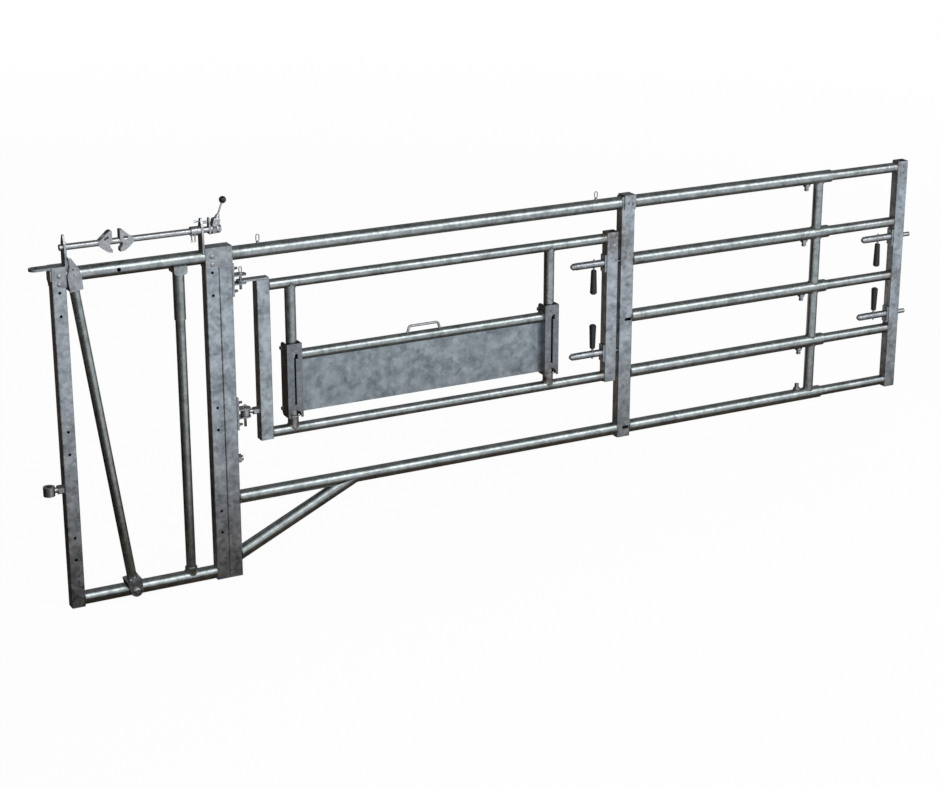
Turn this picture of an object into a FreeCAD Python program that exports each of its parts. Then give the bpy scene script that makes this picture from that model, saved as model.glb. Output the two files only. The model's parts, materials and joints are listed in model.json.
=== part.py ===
"""Calving gate: a head yoke, a long gate with an inner door and a sliding end.

Sizes are in millimetres. The frame is +X along the gate from its hanging side,
+Y away from the viewer and +Z up. The origin lies on the foot of the hinge
post, in the middle of its outer wall and in the gate's middle plane. The
pieces are drawn from the outer face of that post and from the axis of the
yoke's bottom tube, and are moved to the origin as they are saved.
"""
import os
import math

import FreeCAD
import Part

Vector = FreeCAD.Vector
X_AXIS = Vector(1, 0, 0)
Y_AXIS = Vector(0, 1, 0)
Z_AXIS = Vector(0, 0, 1)

os.makedirs("parts", exist_ok=True)

# Steel sections
MAIN_TUBE_OD = 60.3
MAIN_TUBE_WALL = 3.6
RAIL_TUBE_WALL = 5.0
INNER_TUBE_OD = 48.3
INNER_TUBE_WALL = 3.2
YOKE_BAR_OD = 42.4
YOKE_BAR_WALL = 3.2
POST_WIDTH = 60.0
POST_DEPTH = 51.0
POST_WALL = 4.0
POST_CORNER = 5.0
POST_INNER_CORNER = 1.5
POST_OVERRUN = 2.0

# Heights of the yoke and of the rails above the yoke's bottom tube
YOKE_HEIGHT = 1430.0
RAIL_PITCH = 275.0
RAIL_COUNT = 5

# Lengths along the gate
YOKE_INSIDE = 602.0
FIXED_BAR_X = 550.0
DOORWAY = 1923.0
MIDDLE_POST_WIDTH = 70.0
MIDDLE_POST_OVERRUN = 10.0
OUTER_RAIL_LENGTH = 1123.0
END_POST_GAP = 396.0
PANEL_BRACE_INSET = 66.0
TELESCOPE_LENGTH = 1120.0

# Room that cutting tools run past a piece, and gaps between fitted pieces
OVERCUT = 1.0
SEAT_GAP = 0.3
RUNNING_GAP = 0.05

# Hanging hinges of the gate
HINGE_REACH = 61.0
HINGE_BORE = 25.0
LUG_THICKNESS = 10.0
LUG_WIDTH = 52.0
LUG_LEAF = 6.0
LUG_LEAF_HEIGHT = 78.0
SIDE_LEAF_HEIGHT = 62.0
SIDE_LEAF_CORNER = 14.0
LOWER_HINGE_RISE = 178.0
EYE_OD = 50.0
EYE_HEIGHT = 40.0
SHANK_D = 24.0
NUT_FLATS = 36.0
NUT_THICKNESS = 25.0
SHANK_TAIL = 14.0
JOINING_NUT = 18.0
JOINING_BOLT_LENGTH = 27.0

# Pairs of spare holes in the yoke posts
SPARE_HOLE_D = 13.0
SPARE_PAIR_PITCH = 100.0
LOW_PAIR_Z = 188.0
LEAF_BOLT_D = 13.0
LEAF_BOLT_DROPS = (27.0, 62.0)
YOKE_LOCK_HOLE_X = 284.0
YOKE_LOCK_HOLE_D = 18.0

# Swinging yoke bar with its catch bracket and clevis, heights from the top tube
BAR_PIVOT_X = 286.0
BAR_TOP_REACH = 196.0
PIVOT_BOLT_D = 16.0
PIVOT_BOLT_END = 10.0
CHEEK_THICKNESS = 5.0
CHEEK_CLEARANCE = 5.0
CLEVIS_WIDTH = 64.0
CLEVIS_WEB_HEIGHT = 42.0
CLEVIS_END_RADIUS = 28.0
GUSSET_RISE = 36.0
GUSSET_THICKNESS = 6.0
CATCH_FOOT_DROP = 50.0
CATCH_HALF_WIDTH = 28.0
CATCH_BULGE = 31.0
CATCH_SHOULDER_HALF = 26.0
CATCH_BULGE_RISE = 4.0
CATCH_SHOULDER_RISE = 39.0
CATCH_TOP_RISE = 89.0
CATCH_NECK_RISE = 55.0
CATCH_LEFT_RISE = 15.0
CATCH_PIN_D = 10.0
CATCH_PIN_RISE = 80.0
CATCH_PIN_OFFSET = -4.0
CATCH_PIN_END = 3.0
CATCH_PEAK_HALF = 6.0
CATCH_HOLE_D = 8.0
CATCH_HOLE_RISE = 41.0

# Latch rod with its arms, collar, washer and nut
ROD_D = 26.9
ROD_ABOVE_TUBE = 115.5
ROD_LEFT_OVERRUN = 14.0
ROD_RIGHT_OVERRUN = 83.0
ARM_THICKNESS = 9.0
ARM_BASE_DEPTH = 52.0
ARM_SHOULDER_DEPTH = 40.0
ARM_TOP_DEPTH = 16.0
ARM_ABOVE_ROD = 51.0
ARM_SHOULDER = 18.0
ARM_TAPER_START = 40.0
ARM_STUD_D = 12.0
ARM_STUD_LENGTH = 22.0
ARM_STUD_RISE = 32.5
COLLAR_OD = 40.0
COLLAR_LENGTH = 42.0
WASHER_THICKNESS = 3.0
ROD_NUT_THICKNESS = 11.0

# Claws on the latch rod: outline from the face at the gap and from the rod's axis
CLAW_GAP_CENTRE = 283.6
CLAW_GAP = 33.4
CLAW_HALF_DEPTH = 16.5
CLAW_PLATE = 6.0
CLAW_HUB_START = 12.0
CLAW_HUB_END = 50.0
CLAW_OUTLINE = (
    (0, -45),
    (20, -41),
    (40, -27),
    (55, -12),
    (60, -2),
    (60, 5),
    (14, 46),
    (4, 48),
    (0, 46),
    (0, 8),
    (9, -2),
    (12, -9),
    (7, -24),
    (0, -30),
)
CLAW_SLOT_HIGH = (19, 21)
CLAW_SLOT_LOW = (31, 14)
CLAW_SLOT_WIDTH = 9.0
CLAW_WINDOW_X = (14, 33)
CLAW_WINDOW_Z = (6, 20)

# Lever on the rod's right end
LEVER_X = 713.0
LEVER_LEAN = 21.0
LEVER_REACH = 128.0
LEVER_ROD_D = 8.0
LEVER_HUB_OD = 38.0
LEVER_HUB_LENGTH = 34.0
LEVER_PLATE = 6.0
LEVER_PLATE_HALF = 18.0
LEVER_PLATE_TOP_HALF = 8.0
LEVER_PLATE_RISE = 50.0
SOCKET_FOOT_D = 34.0
SOCKET_TOP_D = 15.0
SOCKET_SHOULDER = 26.0
SOCKET_LENGTH = 64.0
KNOB_D = 31.0
KNOB_BANDS = 10

# Fixed yoke bar
SLEEVE_OD = 50.0
SLEEVE_LENGTH = 200.0
SADDLE_LENGTH = 59.0
SADDLE_THICKNESS = 5.0
SADDLE_DROP = 27.0
SADDLE_EDGE_DROP = 19.0
SADDLE_CORNER = 15.0
FOOT_COLLAR_OD = 54.0
FOOT_COLLAR_HEIGHT = 16.0

# Inner door: its tubes from the gate's rails, its bolts from its tubes
DOOR_AXIS_OFFSET = 45.0
DOOR_POST_OFFSET = 107.0
DOOR_END_GAP = 15.0
DOOR_TOP_DROP = 159.4
DOOR_FOOT_RISE = 273.7
DOOR_POST_TOP_MARGIN = 7.0
DOOR_UPRIGHT_INSET = 102.4
DOOR_UPRIGHT_RIGHT_INSET = 295.1
DOOR_BOLT_INSET = 116.0
UPPER_PAIR_DROP = 7.6
LOWER_PAIR_RISE = 59.3
HINGE_PLATE = 8.0
HINGE_PLATE_FOOT = 18.0
HINGE_PLATE_HEAD = 28.0
EAR_THICKNESS = 6.0
EAR_LOW = 31.0
EAR_HIGH = 68.0
EAR_RADIUS = 25.0
DOOR_PIN_D = 12.0
DOOR_PIN_TAIL = 44.0
DOOR_PIN_HEAD_D = 20.0
DOOR_PIN_HEAD = 4.0
DOOR_LUG_WIDTH = 40.0
DOOR_LUG_THICKNESS = 8.0
DOOR_EYE_OD = 42.0
DOOR_EYE_HEIGHT = 28.0
DOOR_SHANK_D = 20.0
DOOR_SHANK_TAIL = 12.0
DOOR_NUT_FLATS = 30.0
DOOR_NUT_THICKNESS = 26.0

# Pull rings of the pins
RING_WIRE = 4.0
RAIL_RING = (19.0, 34.0)
DOOR_RING = (16.0, 30.0)
RING_SINK = 2.0
RING_PIN_HEAD_D = 14.0
RING_PIN_HEAD = 8.0
RING_PIN_INSETS = (128.0, 1796.0)

# Spring bolts
HOUSING_OD = 33.7
HOUSING_BORE = 23.0
HOUSING_LENGTH = 178.0
HOUSING_END_WALL = 8.0
HOUSING_FLANGE = 8.0
HOUSING_FLANGE_HEIGHT = 80.0
HOUSING_FLANGE_HALF = 20.0
CAP_LENGTH = 12.0
CAP_END_D = 18.0
CRIMP_WIDTH = 11.0
CRIMP_DEPTH = 2.0
PEG_D = 8.0
PEG_HEIGHT = 6.0
BOLT_D = 22.0
BOLT_NOSE = 5.0
BOLT_TAIL = 22.0
BOLT_HOLE_GAP = 0.5
STRIKE_HOLE_GAP = 2.0
BOLT_TRAVEL = 76.0
END_BOLT_TRAVEL = 58.0
DOOR_BOLT_REACH = 68.0
END_BOLT_REACH = 55.0
DOOR_GRIP_SETBACK = 56.0
END_GRIP_SETBACK = 80.0
END_BOLT_INSET = 75.5
STEM_D = 10.0
GRIP_GAP = 10.0
GRIP_LENGTH = 117.0
GRIP_TOP_D = 26.0
GRIP_END_D = 33.0
GRIP_TOP_EDGE = 4.0
GRIP_END_EDGE = 6.0
GRIP_BORE = 18.0
GRIP_SIDES = (-1, 1)

# Kick panel that slides on the door's upright tubes
CHANNEL_WIDTH = 71.0
CHANNEL_DEPTH = 71.0
CHANNEL_WALL = 5.0
CHANNEL_HEIGHT = 337.0
CHANNEL_RISE = 333.0
CHANNEL_CORNER = 20.0
CHANNEL_ARCH_RADIUS = 25.0
CHANNEL_ARCH_RISE = 9.0
SLOT_WIDTH = 11.0
SLOT_FOOT_MARGIN = 60.0
KEYHOLE_WIDTH = 15.0
KEYHOLE_HEIGHT = 22.0
KEYHOLE_DROP = 4.0
CROSS_BOLT_D = 10.0
CROSS_BOLT_Y = 30.0
CROSS_BOLT_INSET = 30.0
PANEL_TRAVEL = 225.0
PANEL_TUBE_BELOW_TOP = 61.0
SHEET_THICKNESS = 3.0
SHEET_FOOT_MARGIN = 14.0
HANDLE_ROD_D = 12.0
HANDLE_WIDTH = 166.0
HANDLE_SHOULDER = 44.0
HANDLE_RISE = 34.0
HANDLE_SINK = 3.0
GUIDE_STUD_D = 9.0
GUIDE_STUD_SINK = 2.0

# Gate brace and rail clamps
BRACE_TOP_Z = 66.0
BRACE_REACH = 562.0
BRACE_SPARE = 0.2
CLAMP_INSET = 135.0
CLAMP_BOSS_D = 24.0
CLAMP_BOSS_HEIGHT = 14.0
CLAMP_SCREW_D = 12.0
CLAMP_SCREW_LENGTH = 30.0

# Middle post: folded cap with two square holes, and slots in the front wall
CAP_SETBACK = 12.0
CAP_LEAF_HEIGHT = 62.0
CAP_HOLES = ((31.0, 32.0), (52.0, 35.0))
CAP_HOLE_WIDTH = 9.0
CAP_HOLE_HEIGHT = 13.0
POST_SLOT_X = 45.0
POST_SLOT_WIDTH = 34.0
POST_SLOT_HEIGHT = 14.0
POST_SLOT_DROP = 8.0
POST_SLOT_LOW_RISE = 6.0

# End post: two small holes near its head
END_HOLES = ((33.0, 24.0), (36.0, 60.0))
END_HOLE_D = 8.0

# Places that follow from the sizes above
main_r = MAIN_TUBE_OD / 2
inner_r = INNER_TUBE_OD / 2
post_half = POST_DEPTH / 2
yoke_post_foot = -main_r - POST_OVERRUN
yoke_post_top = YOKE_HEIGHT + main_r + POST_OVERRUN
inner_post_x = POST_WIDTH + YOKE_INSIDE
hanging_post_x = inner_post_x + POST_WIDTH
doorway_x = hanging_post_x + POST_WIDTH
middle_post_x = doorway_x + DOORWAY
panel_x = middle_post_x + MIDDLE_POST_WIDTH
rail_end_x = panel_x + OUTER_RAIL_LENGTH
end_post_x = rail_end_x + END_POST_GAP
rail_heights = [YOKE_HEIGHT - RAIL_PITCH * i for i in range(RAIL_COUNT)]
low_rail_z = rail_heights[-1]
lower_hinge_z = low_rail_z + LOWER_HINGE_RISE
rod_z = YOKE_HEIGHT + ROD_ABOVE_TUBE
left_arm_x = POST_WIDTH
right_arm_x = inner_post_x - ARM_THICKNESS
bar_lean = math.atan(BAR_TOP_REACH / YOKE_HEIGHT)
bar_direction = Vector(-math.sin(bar_lean), 0, math.cos(bar_lean))
cheek_in = main_r + CHEEK_CLEARANCE
cheek_out = cheek_in + CHEEK_THICKNESS
lever_angle = math.radians(LEVER_LEAN)
lever_direction = Vector(math.sin(lever_angle), 0, math.cos(lever_angle))
door_axis_x = doorway_x + DOOR_AXIS_OFFSET
door_left_x = doorway_x + DOOR_POST_OFFSET
door_right_x = middle_post_x - DOOR_END_GAP - POST_WIDTH
door_top_tube_z = YOKE_HEIGHT - DOOR_TOP_DROP
door_bottom_tube_z = low_rail_z + DOOR_FOOT_RISE
door_foot_z = door_bottom_tube_z - inner_r
door_top_z = door_top_tube_z + inner_r + DOOR_POST_TOP_MARGIN
door_bolt_heights = (door_top_tube_z - DOOR_BOLT_INSET, door_bottom_tube_z + DOOR_BOLT_INSET)
end_bolt_heights = (rail_heights[1] - END_BOLT_INSET, rail_heights[3] + END_BOLT_INSET)
hinge_pairs = (door_top_tube_z - UPPER_PAIR_DROP, door_bottom_tube_z + LOWER_PAIR_RISE)
lower_eye_z = hinge_pairs[1] + (EAR_LOW + EAR_THICKNESS + EAR_HIGH) / 2
upright_xs = (
    door_left_x + POST_WIDTH + DOOR_UPRIGHT_INSET,
    door_right_x - DOOR_UPRIGHT_RIGHT_INSET,
)
channel_foot_z = low_rail_z + CHANNEL_RISE
channel_top_z = channel_foot_z + CHANNEL_HEIGHT
channel_front = -CHANNEL_DEPTH / 2
slot_low = channel_foot_z + SLOT_FOOT_MARGIN
slot_high = slot_low + PANEL_TRAVEL + GUIDE_STUD_D + 2 * SEAT_GAP
stud_z = slot_high - SEAT_GAP - GUIDE_STUD_D / 2
panel_left_x = upright_xs[0] + CHANNEL_WIDTH / 2
panel_span = upright_xs[1] - upright_xs[0] - CHANNEL_WIDTH
panel_tube_z = channel_top_z - PANEL_TUBE_BELOW_TOP
handle_x = (upright_xs[0] + upright_xs[1]) / 2
to_origin = Vector(-POST_WALL / 2, 0, -yoke_post_foot)


def cylinder(radius, start, direction, length):
    """A round bar from a point along a direction."""
    return Part.makeCylinder(radius, length, start, direction)


def tube(outer_d, wall, start, direction, length):
    """A round tube, open at both ends."""
    outer = cylinder(outer_d / 2, start, direction, length)
    return outer.cut(cylinder(outer_d / 2 - wall, start, direction, length))


def slab(x_range, y_range, z_range):
    """A block between low and high values on each axis."""
    low = Vector(x_range[0], y_range[0], z_range[0])
    return Part.makeBox(
        x_range[1] - x_range[0], y_range[1] - y_range[0], z_range[1] - z_range[0], low
    )


def plate(points, direction):
    """A flat plate from its outline, pushed out along a direction."""
    outline = Part.makePolygon(points + [points[0]])
    return Part.Face(outline).extrude(direction)


def upright_plate(profile, y_low, y_high):
    """A plate whose X and Z outline is pushed out along Y."""
    points = [Vector(x, y_low, z) for x, z in profile]
    return plate(points, Vector(0, y_high - y_low, 0))


def rounded_bar(x_low, x_high, y_half, z_low, z_high, radius):
    """A box with its upright corners rounded."""
    bar = slab((x_low, x_high), (-y_half, y_half), (z_low, z_high))
    corners = [e for e in bar.Edges if abs(e.tangentAt(e.FirstParameter).z) > 0.99]
    return bar.makeFillet(radius, corners)


def box_post(x_low, width, z_low, z_high):
    """A hollow box section standing upright."""
    outer = rounded_bar(x_low, x_low + width, post_half, z_low, z_high, POST_CORNER)
    inside = (x_low + POST_WALL, x_low + width - POST_WALL)
    half = post_half - POST_WALL
    return outer.cut(rounded_bar(inside[0], inside[1], half, z_low, z_high, POST_INNER_CORNER))


def hexagon(flats, start, direction, length):
    """A hexagonal nut or bolt head."""
    radius = flats / math.sqrt(3)
    points = [
        Vector(radius * math.cos(math.radians(60 * i)), radius * math.sin(math.radians(60 * i)), 0)
        for i in range(6)
    ]
    body = plate(points, Vector(0, 0, length))
    body.Placement = FreeCAD.Placement(start, FreeCAD.Rotation(Z_AXIS, direction))
    return body


def turned(profile, start, direction):
    """A turned piece from its radius and height outline."""
    points = [Vector(r, 0, h) for r, h in profile]
    outline = Part.Face(Part.makePolygon(points + [points[0]]))
    body = outline.revolve(Vector(0, 0, 0), Z_AXIS, 360)
    body.Placement = FreeCAD.Placement(start, FreeCAD.Rotation(Z_AXIS, direction))
    return body


def fused(pieces):
    """One solid from pieces that meet."""
    return pieces[0].multiFuse(pieces[1:]).removeSplitter()


def drilled(body, diameter, start, direction, length):
    """A body with a round hole that runs a little past both ends of its length."""
    unit = Vector(direction).normalize()
    return body.cut(cylinder(diameter / 2, start - unit * OVERCUT, unit, length + 2 * OVERCUT))


def ring_blank(x, low, high, radius):
    """A long round-ended plate between the centres of its two ends."""
    y_half = RING_WIRE / 2
    middle = slab((x - radius, x + radius), (-y_half, y_half), (low, high))
    ends = [cylinder(radius, Vector(x, -y_half, z), Y_AXIS, RING_WIRE) for z in (low, high)]
    return fused([middle] + ends)


def pull_ring(x, foot_z, size):
    """A long loop that stands above a pin."""
    width, height = size
    low = foot_z + width / 2
    high = foot_z + height - width / 2
    outer = ring_blank(x, low, high, width / 2)
    return outer.cut(ring_blank(x, low, high, width / 2 - RING_WIRE))


def save(name, pieces):
    """Move a piece, or a group of like pieces, to the origin and write its STEP file."""
    shape = Part.makeCompound(pieces) if isinstance(pieces, list) else pieces
    shape = shape.copy()
    shape.translate(to_origin)
    shape.exportStep(os.path.join("parts", name + ".step"))


def spare_holes(post, post_x):
    """Drill the pairs of spare holes through the front and back of a yoke post."""
    for start_z in (LOW_PAIR_Z,) + hinge_pairs:
        for hole_z in (start_z, start_z + SPARE_PAIR_PITCH):
            start = Vector(post_x + POST_WIDTH / 2, -post_half, hole_z)
            post = drilled(post, SPARE_HOLE_D, start, Y_AXIS, POST_DEPTH)
    return post


def bolted_leaf(post, post_x):
    """Drill the two holes for the bolts of the bracket on top of a post."""
    for drop in LEAF_BOLT_DROPS:
        start = Vector(post_x + POST_WIDTH / 2, -POST_DEPTH, yoke_post_top - drop)
        post = drilled(post, LEAF_BOLT_D, start, Y_AXIS, 2 * POST_DEPTH)
    return post


def hinge_post():
    """The post that hangs the gate."""
    post = box_post(0, POST_WIDTH, yoke_post_foot, yoke_post_top)
    post = bolted_leaf(spare_holes(post, 0), 0)
    shank_d = SHANK_D + 2 * SEAT_GAP
    return drilled(post, shank_d, Vector(0, 0, lower_hinge_z), X_AXIS, POST_WALL)


def bracket_leaves(x_low, width):
    """Top plate with a front and a back leaf, folded down over a post."""
    y_out = post_half + LUG_LEAF
    top = slab(
        (x_low, x_low + width), (-y_out, y_out), (yoke_post_top, yoke_post_top + LUG_THICKNESS)
    )
    leaf_range = (yoke_post_top - LUG_LEAF_HEIGHT, yoke_post_top)
    front = slab((x_low, x_low + width), (-y_out, -post_half), leaf_range)
    back = slab((x_low, x_low + width), (post_half, y_out), leaf_range)
    return [top, front, back]


def top_hinge_bracket():
    """Upper hinge: a round-ended lug and leaves bolted over the hinge post."""
    half = LUG_WIDTH / 2
    lug_top = yoke_post_top + LUG_THICKNESS
    reach = slab((-HINGE_REACH, POST_WIDTH), (-half, half), (yoke_post_top, lug_top))
    nose = cylinder(half, Vector(-HINGE_REACH, 0, yoke_post_top), Z_AXIS, LUG_THICKNESS)
    foot = yoke_post_top - SIDE_LEAF_HEIGHT
    corner = half - SIDE_LEAF_CORNER
    side_outline = [
        Vector(-LUG_LEAF, -half, yoke_post_top),
        Vector(-LUG_LEAF, half, yoke_post_top),
        Vector(-LUG_LEAF, half, foot + SIDE_LEAF_CORNER),
        Vector(-LUG_LEAF, corner, foot),
        Vector(-LUG_LEAF, -corner, foot),
        Vector(-LUG_LEAF, -half, foot + SIDE_LEAF_CORNER),
    ]
    side = plate(side_outline, Vector(LUG_LEAF, 0, 0))
    body = bolted_leaf(fused([reach, nose, side] + bracket_leaves(0, POST_WIDTH)), 0)
    bore_start = Vector(-HINGE_REACH, 0, yoke_post_top)
    return drilled(body, HINGE_BORE, bore_start, Z_AXIS, LUG_THICKNESS)


def lower_hinge_eye():
    """Lower hinge: a barrel on a threaded shank with its nut against the post."""
    eye_foot = Vector(-HINGE_REACH, 0, lower_hinge_z - EYE_HEIGHT / 2)
    barrel = cylinder(EYE_OD / 2, eye_foot, Z_AXIS, EYE_HEIGHT)
    shank_start = Vector(-HINGE_REACH, 0, lower_hinge_z)
    shank = cylinder(SHANK_D / 2, shank_start, X_AXIS, HINGE_REACH + POST_WALL + SHANK_TAIL)
    nut = hexagon(NUT_FLATS, Vector(-NUT_THICKNESS, 0, lower_hinge_z), X_AXIS, NUT_THICKNESS)
    body = fused([barrel, shank, nut])
    return drilled(body, HINGE_BORE, eye_foot, Z_AXIS, EYE_HEIGHT)


def yoke_top_tube():
    """Top tube of the yoke, with a hole for a locking pin."""
    start = Vector(POST_WIDTH, 0, YOKE_HEIGHT)
    body = tube(MAIN_TUBE_OD, MAIN_TUBE_WALL, start, X_AXIS, YOKE_INSIDE)
    hole_start = Vector(YOKE_LOCK_HOLE_X, -main_r, YOKE_HEIGHT)
    return drilled(body, YOKE_LOCK_HOLE_D, hole_start, Y_AXIS, MAIN_TUBE_OD)


def yoke_bottom_tube():
    """Bottom tube of the yoke, bored for the pivot of the swinging bar."""
    body = tube(MAIN_TUBE_OD, MAIN_TUBE_WALL, Vector(POST_WIDTH, 0, 0), X_AXIS, YOKE_INSIDE)
    hole_d = PIVOT_BOLT_D + 2 * RUNNING_GAP
    return drilled(body, hole_d, Vector(BAR_PIVOT_X, -main_r, 0), Y_AXIS, MAIN_TUBE_OD)


def fixed_bar_sleeve():
    """Saddle under the top tube with the sleeve that holds the fixed bar."""
    saddle_low = YOKE_HEIGHT - main_r - SADDLE_DROP
    x_range = (FIXED_BAR_X - SADDLE_LENGTH / 2, FIXED_BAR_X + SADDLE_LENGTH / 2)
    saddle_y = main_r + SADDLE_THICKNESS
    saddle = slab(x_range, (-saddle_y, saddle_y), (saddle_low, YOKE_HEIGHT - SADDLE_EDGE_DROP))
    low_edges = [
        e
        for e in saddle.Edges
        if abs(e.tangentAt(e.FirstParameter).y) > 0.99 and e.CenterOfMass.z < saddle_low + OVERCUT
    ]
    saddle = saddle.makeFillet(SADDLE_CORNER, low_edges)
    sleeve_start = Vector(FIXED_BAR_X, 0, saddle_low + SADDLE_THICKNESS)
    sleeve = cylinder(SLEEVE_OD / 2, sleeve_start, -Z_AXIS, SLEEVE_LENGTH + SADDLE_THICKNESS)
    body = fused([saddle, sleeve])
    body = body.cut(cylinder(main_r, Vector(0, 0, YOKE_HEIGHT), X_AXIS, inner_post_x))
    bar_start = Vector(FIXED_BAR_X, 0, YOKE_HEIGHT)
    return body.cut(cylinder(YOKE_BAR_OD / 2 + SEAT_GAP, bar_start, -Z_AXIS, YOKE_HEIGHT))


def fixed_bar():
    """Upright bar that stays in place, between the yoke's two tubes."""
    foot = Vector(FIXED_BAR_X, 0, 0)
    body = tube(YOKE_BAR_OD, YOKE_BAR_WALL, foot, Z_AXIS, YOKE_HEIGHT)
    for height in (0, YOKE_HEIGHT):
        body = body.cut(cylinder(main_r, Vector(0, 0, height), X_AXIS, inner_post_x))
    return body


def fixed_bar_foot():
    """Collar that seats the fixed bar on the bottom tube."""
    start = Vector(FIXED_BAR_X, 0, 0)
    height = main_r + FOOT_COLLAR_HEIGHT
    body = cylinder(FOOT_COLLAR_OD / 2, start, Z_AXIS, height)
    body = body.cut(cylinder(YOKE_BAR_OD / 2 + SEAT_GAP, start, Z_AXIS, height))
    return body.cut(cylinder(main_r, Vector(0, 0, 0), X_AXIS, inner_post_x))


def yoke_inner_post():
    """Second post of the yoke."""
    post = box_post(inner_post_x, POST_WIDTH, yoke_post_foot, yoke_post_top)
    return bolted_leaf(spare_holes(post, inner_post_x), inner_post_x)


def gate_hanging_post():
    """Post of the gate, side by side with the yoke's second post."""
    post = box_post(hanging_post_x, POST_WIDTH, yoke_post_foot, yoke_post_top)
    for start_z in hinge_pairs:
        for hole_z in (start_z, start_z + SPARE_PAIR_PITCH):
            start = Vector(doorway_x - POST_WALL, 0, hole_z)
            post = drilled(post, SPARE_HOLE_D, start, X_AXIS, POST_WALL)
    return bolted_leaf(post, hanging_post_x)


def post_joining_bracket():
    """Folded bracket over the tops of the two posts that stand together."""
    body = fused(bracket_leaves(inner_post_x, 2 * POST_WIDTH))
    body = bolted_leaf(body, inner_post_x)
    return bolted_leaf(body, hanging_post_x)


def post_joining_bolt():
    """Nut and bolt end that clamp the two posts together low down."""
    start = Vector(doorway_x, 0, lower_hinge_z)
    nut = hexagon(NUT_FLATS, start, X_AXIS, JOINING_NUT)
    return fused([nut, cylinder(SHANK_D / 2, start, X_AXIS, JOINING_BOLT_LENGTH)])


def latch_arm(x_low):
    """Tapered plate that stands on the top tube and carries the latch rod."""
    base = ARM_BASE_DEPTH / 2
    shoulder = ARM_SHOULDER_DEPTH / 2
    top = ARM_TOP_DEPTH / 2
    top_z = rod_z + ARM_ABOVE_ROD
    shoulder_z = rod_z + ARM_SHOULDER
    right_side = [
        (base, YOKE_HEIGHT),
        (base, shoulder_z - ARM_TAPER_START),
        (shoulder, shoulder_z),
        (top, top_z),
    ]
    outline = [Vector(x_low, y, z) for y, z in right_side]
    outline += [Vector(x_low, -y, z) for y, z in reversed(right_side)]
    body = plate(outline, Vector(ARM_THICKNESS, 0, 0))
    body = body.cut(cylinder(main_r, Vector(0, 0, YOKE_HEIGHT), X_AXIS, inner_post_x))
    return drilled(body, ROD_D + 2 * RUNNING_GAP, Vector(x_low, 0, rod_z), X_AXIS, ARM_THICKNESS)


def latch_arms():
    """The two arms; the right one carries a stud beside the lever."""
    stud_start = Vector(right_arm_x, 0, rod_z + ARM_STUD_RISE)
    stud = cylinder(ARM_STUD_D / 2, stud_start, X_AXIS, ARM_THICKNESS + ARM_STUD_LENGTH)
    return [latch_arm(left_arm_x), fused([latch_arm(right_arm_x), stud])]


def bar_point(offset, height):
    """A point beside the swinging bar, from its own axis, at rest."""
    x = BAR_PIVOT_X + offset * math.cos(bar_lean) - height * math.sin(bar_lean)
    z = offset * math.sin(bar_lean) + height * math.cos(bar_lean)
    return x, z


def bar_prism(profile, y_low, y_high):
    """A plate drawn beside the swinging bar and pushed out along Y."""
    return upright_plate([bar_point(u, v) for u, v in profile], y_low, y_high)


def swing_bar():
    """Leaning tube of the yoke that swings shut on the neck."""
    low = CLEVIS_WEB_HEIGHT + CHEEK_THICKNESS
    x, z = bar_point(0, low)
    length = YOKE_HEIGHT - CATCH_FOOT_DROP - low
    return tube(YOKE_BAR_OD, YOKE_BAR_WALL, Vector(x, 0, z), bar_direction, length)


def bar_clevis():
    """Saddle over the bottom tube with its pivot bolt and the gusset of the bar."""
    half = CLEVIS_WIDTH / 2
    web_low = CLEVIS_WEB_HEIGHT
    web_top = web_low + CHEEK_THICKNESS
    end = CLEVIS_END_RADIUS
    web_outline = [(-half, web_low), (half, web_low), (half, web_top), (-half, web_top)]
    pieces = [bar_prism(web_outline, -cheek_out, cheek_out)]
    cheek_outline = [
        (-end, 0),
        (end, 0),
        (half, web_low),
        (half, web_top),
        (-half, web_top),
        (-half, web_low),
    ]
    for y_low in (-cheek_out, cheek_in):
        pieces.append(bar_prism(cheek_outline, y_low, y_low + CHEEK_THICKNESS))
        pieces.append(cylinder(end, Vector(BAR_PIVOT_X, y_low, 0), Y_AXIS, CHEEK_THICKNESS))
    bolt_y = cheek_out + PIVOT_BOLT_END
    pieces.append(cylinder(PIVOT_BOLT_D / 2, Vector(BAR_PIVOT_X, -bolt_y, 0), Y_AXIS, 2 * bolt_y))
    gusset = bar_prism(
        [(0, web_top), (half, web_top), (0, web_top + 2 * GUSSET_RISE)],
        -GUSSET_THICKNESS / 2,
        GUSSET_THICKNESS / 2,
    )
    bar_axis = Vector(BAR_PIVOT_X, 0, 0)
    gusset = gusset.cut(cylinder(YOKE_BAR_OD / 2, bar_axis, bar_direction, YOKE_HEIGHT))
    return fused(pieces + [gusset])


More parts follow.
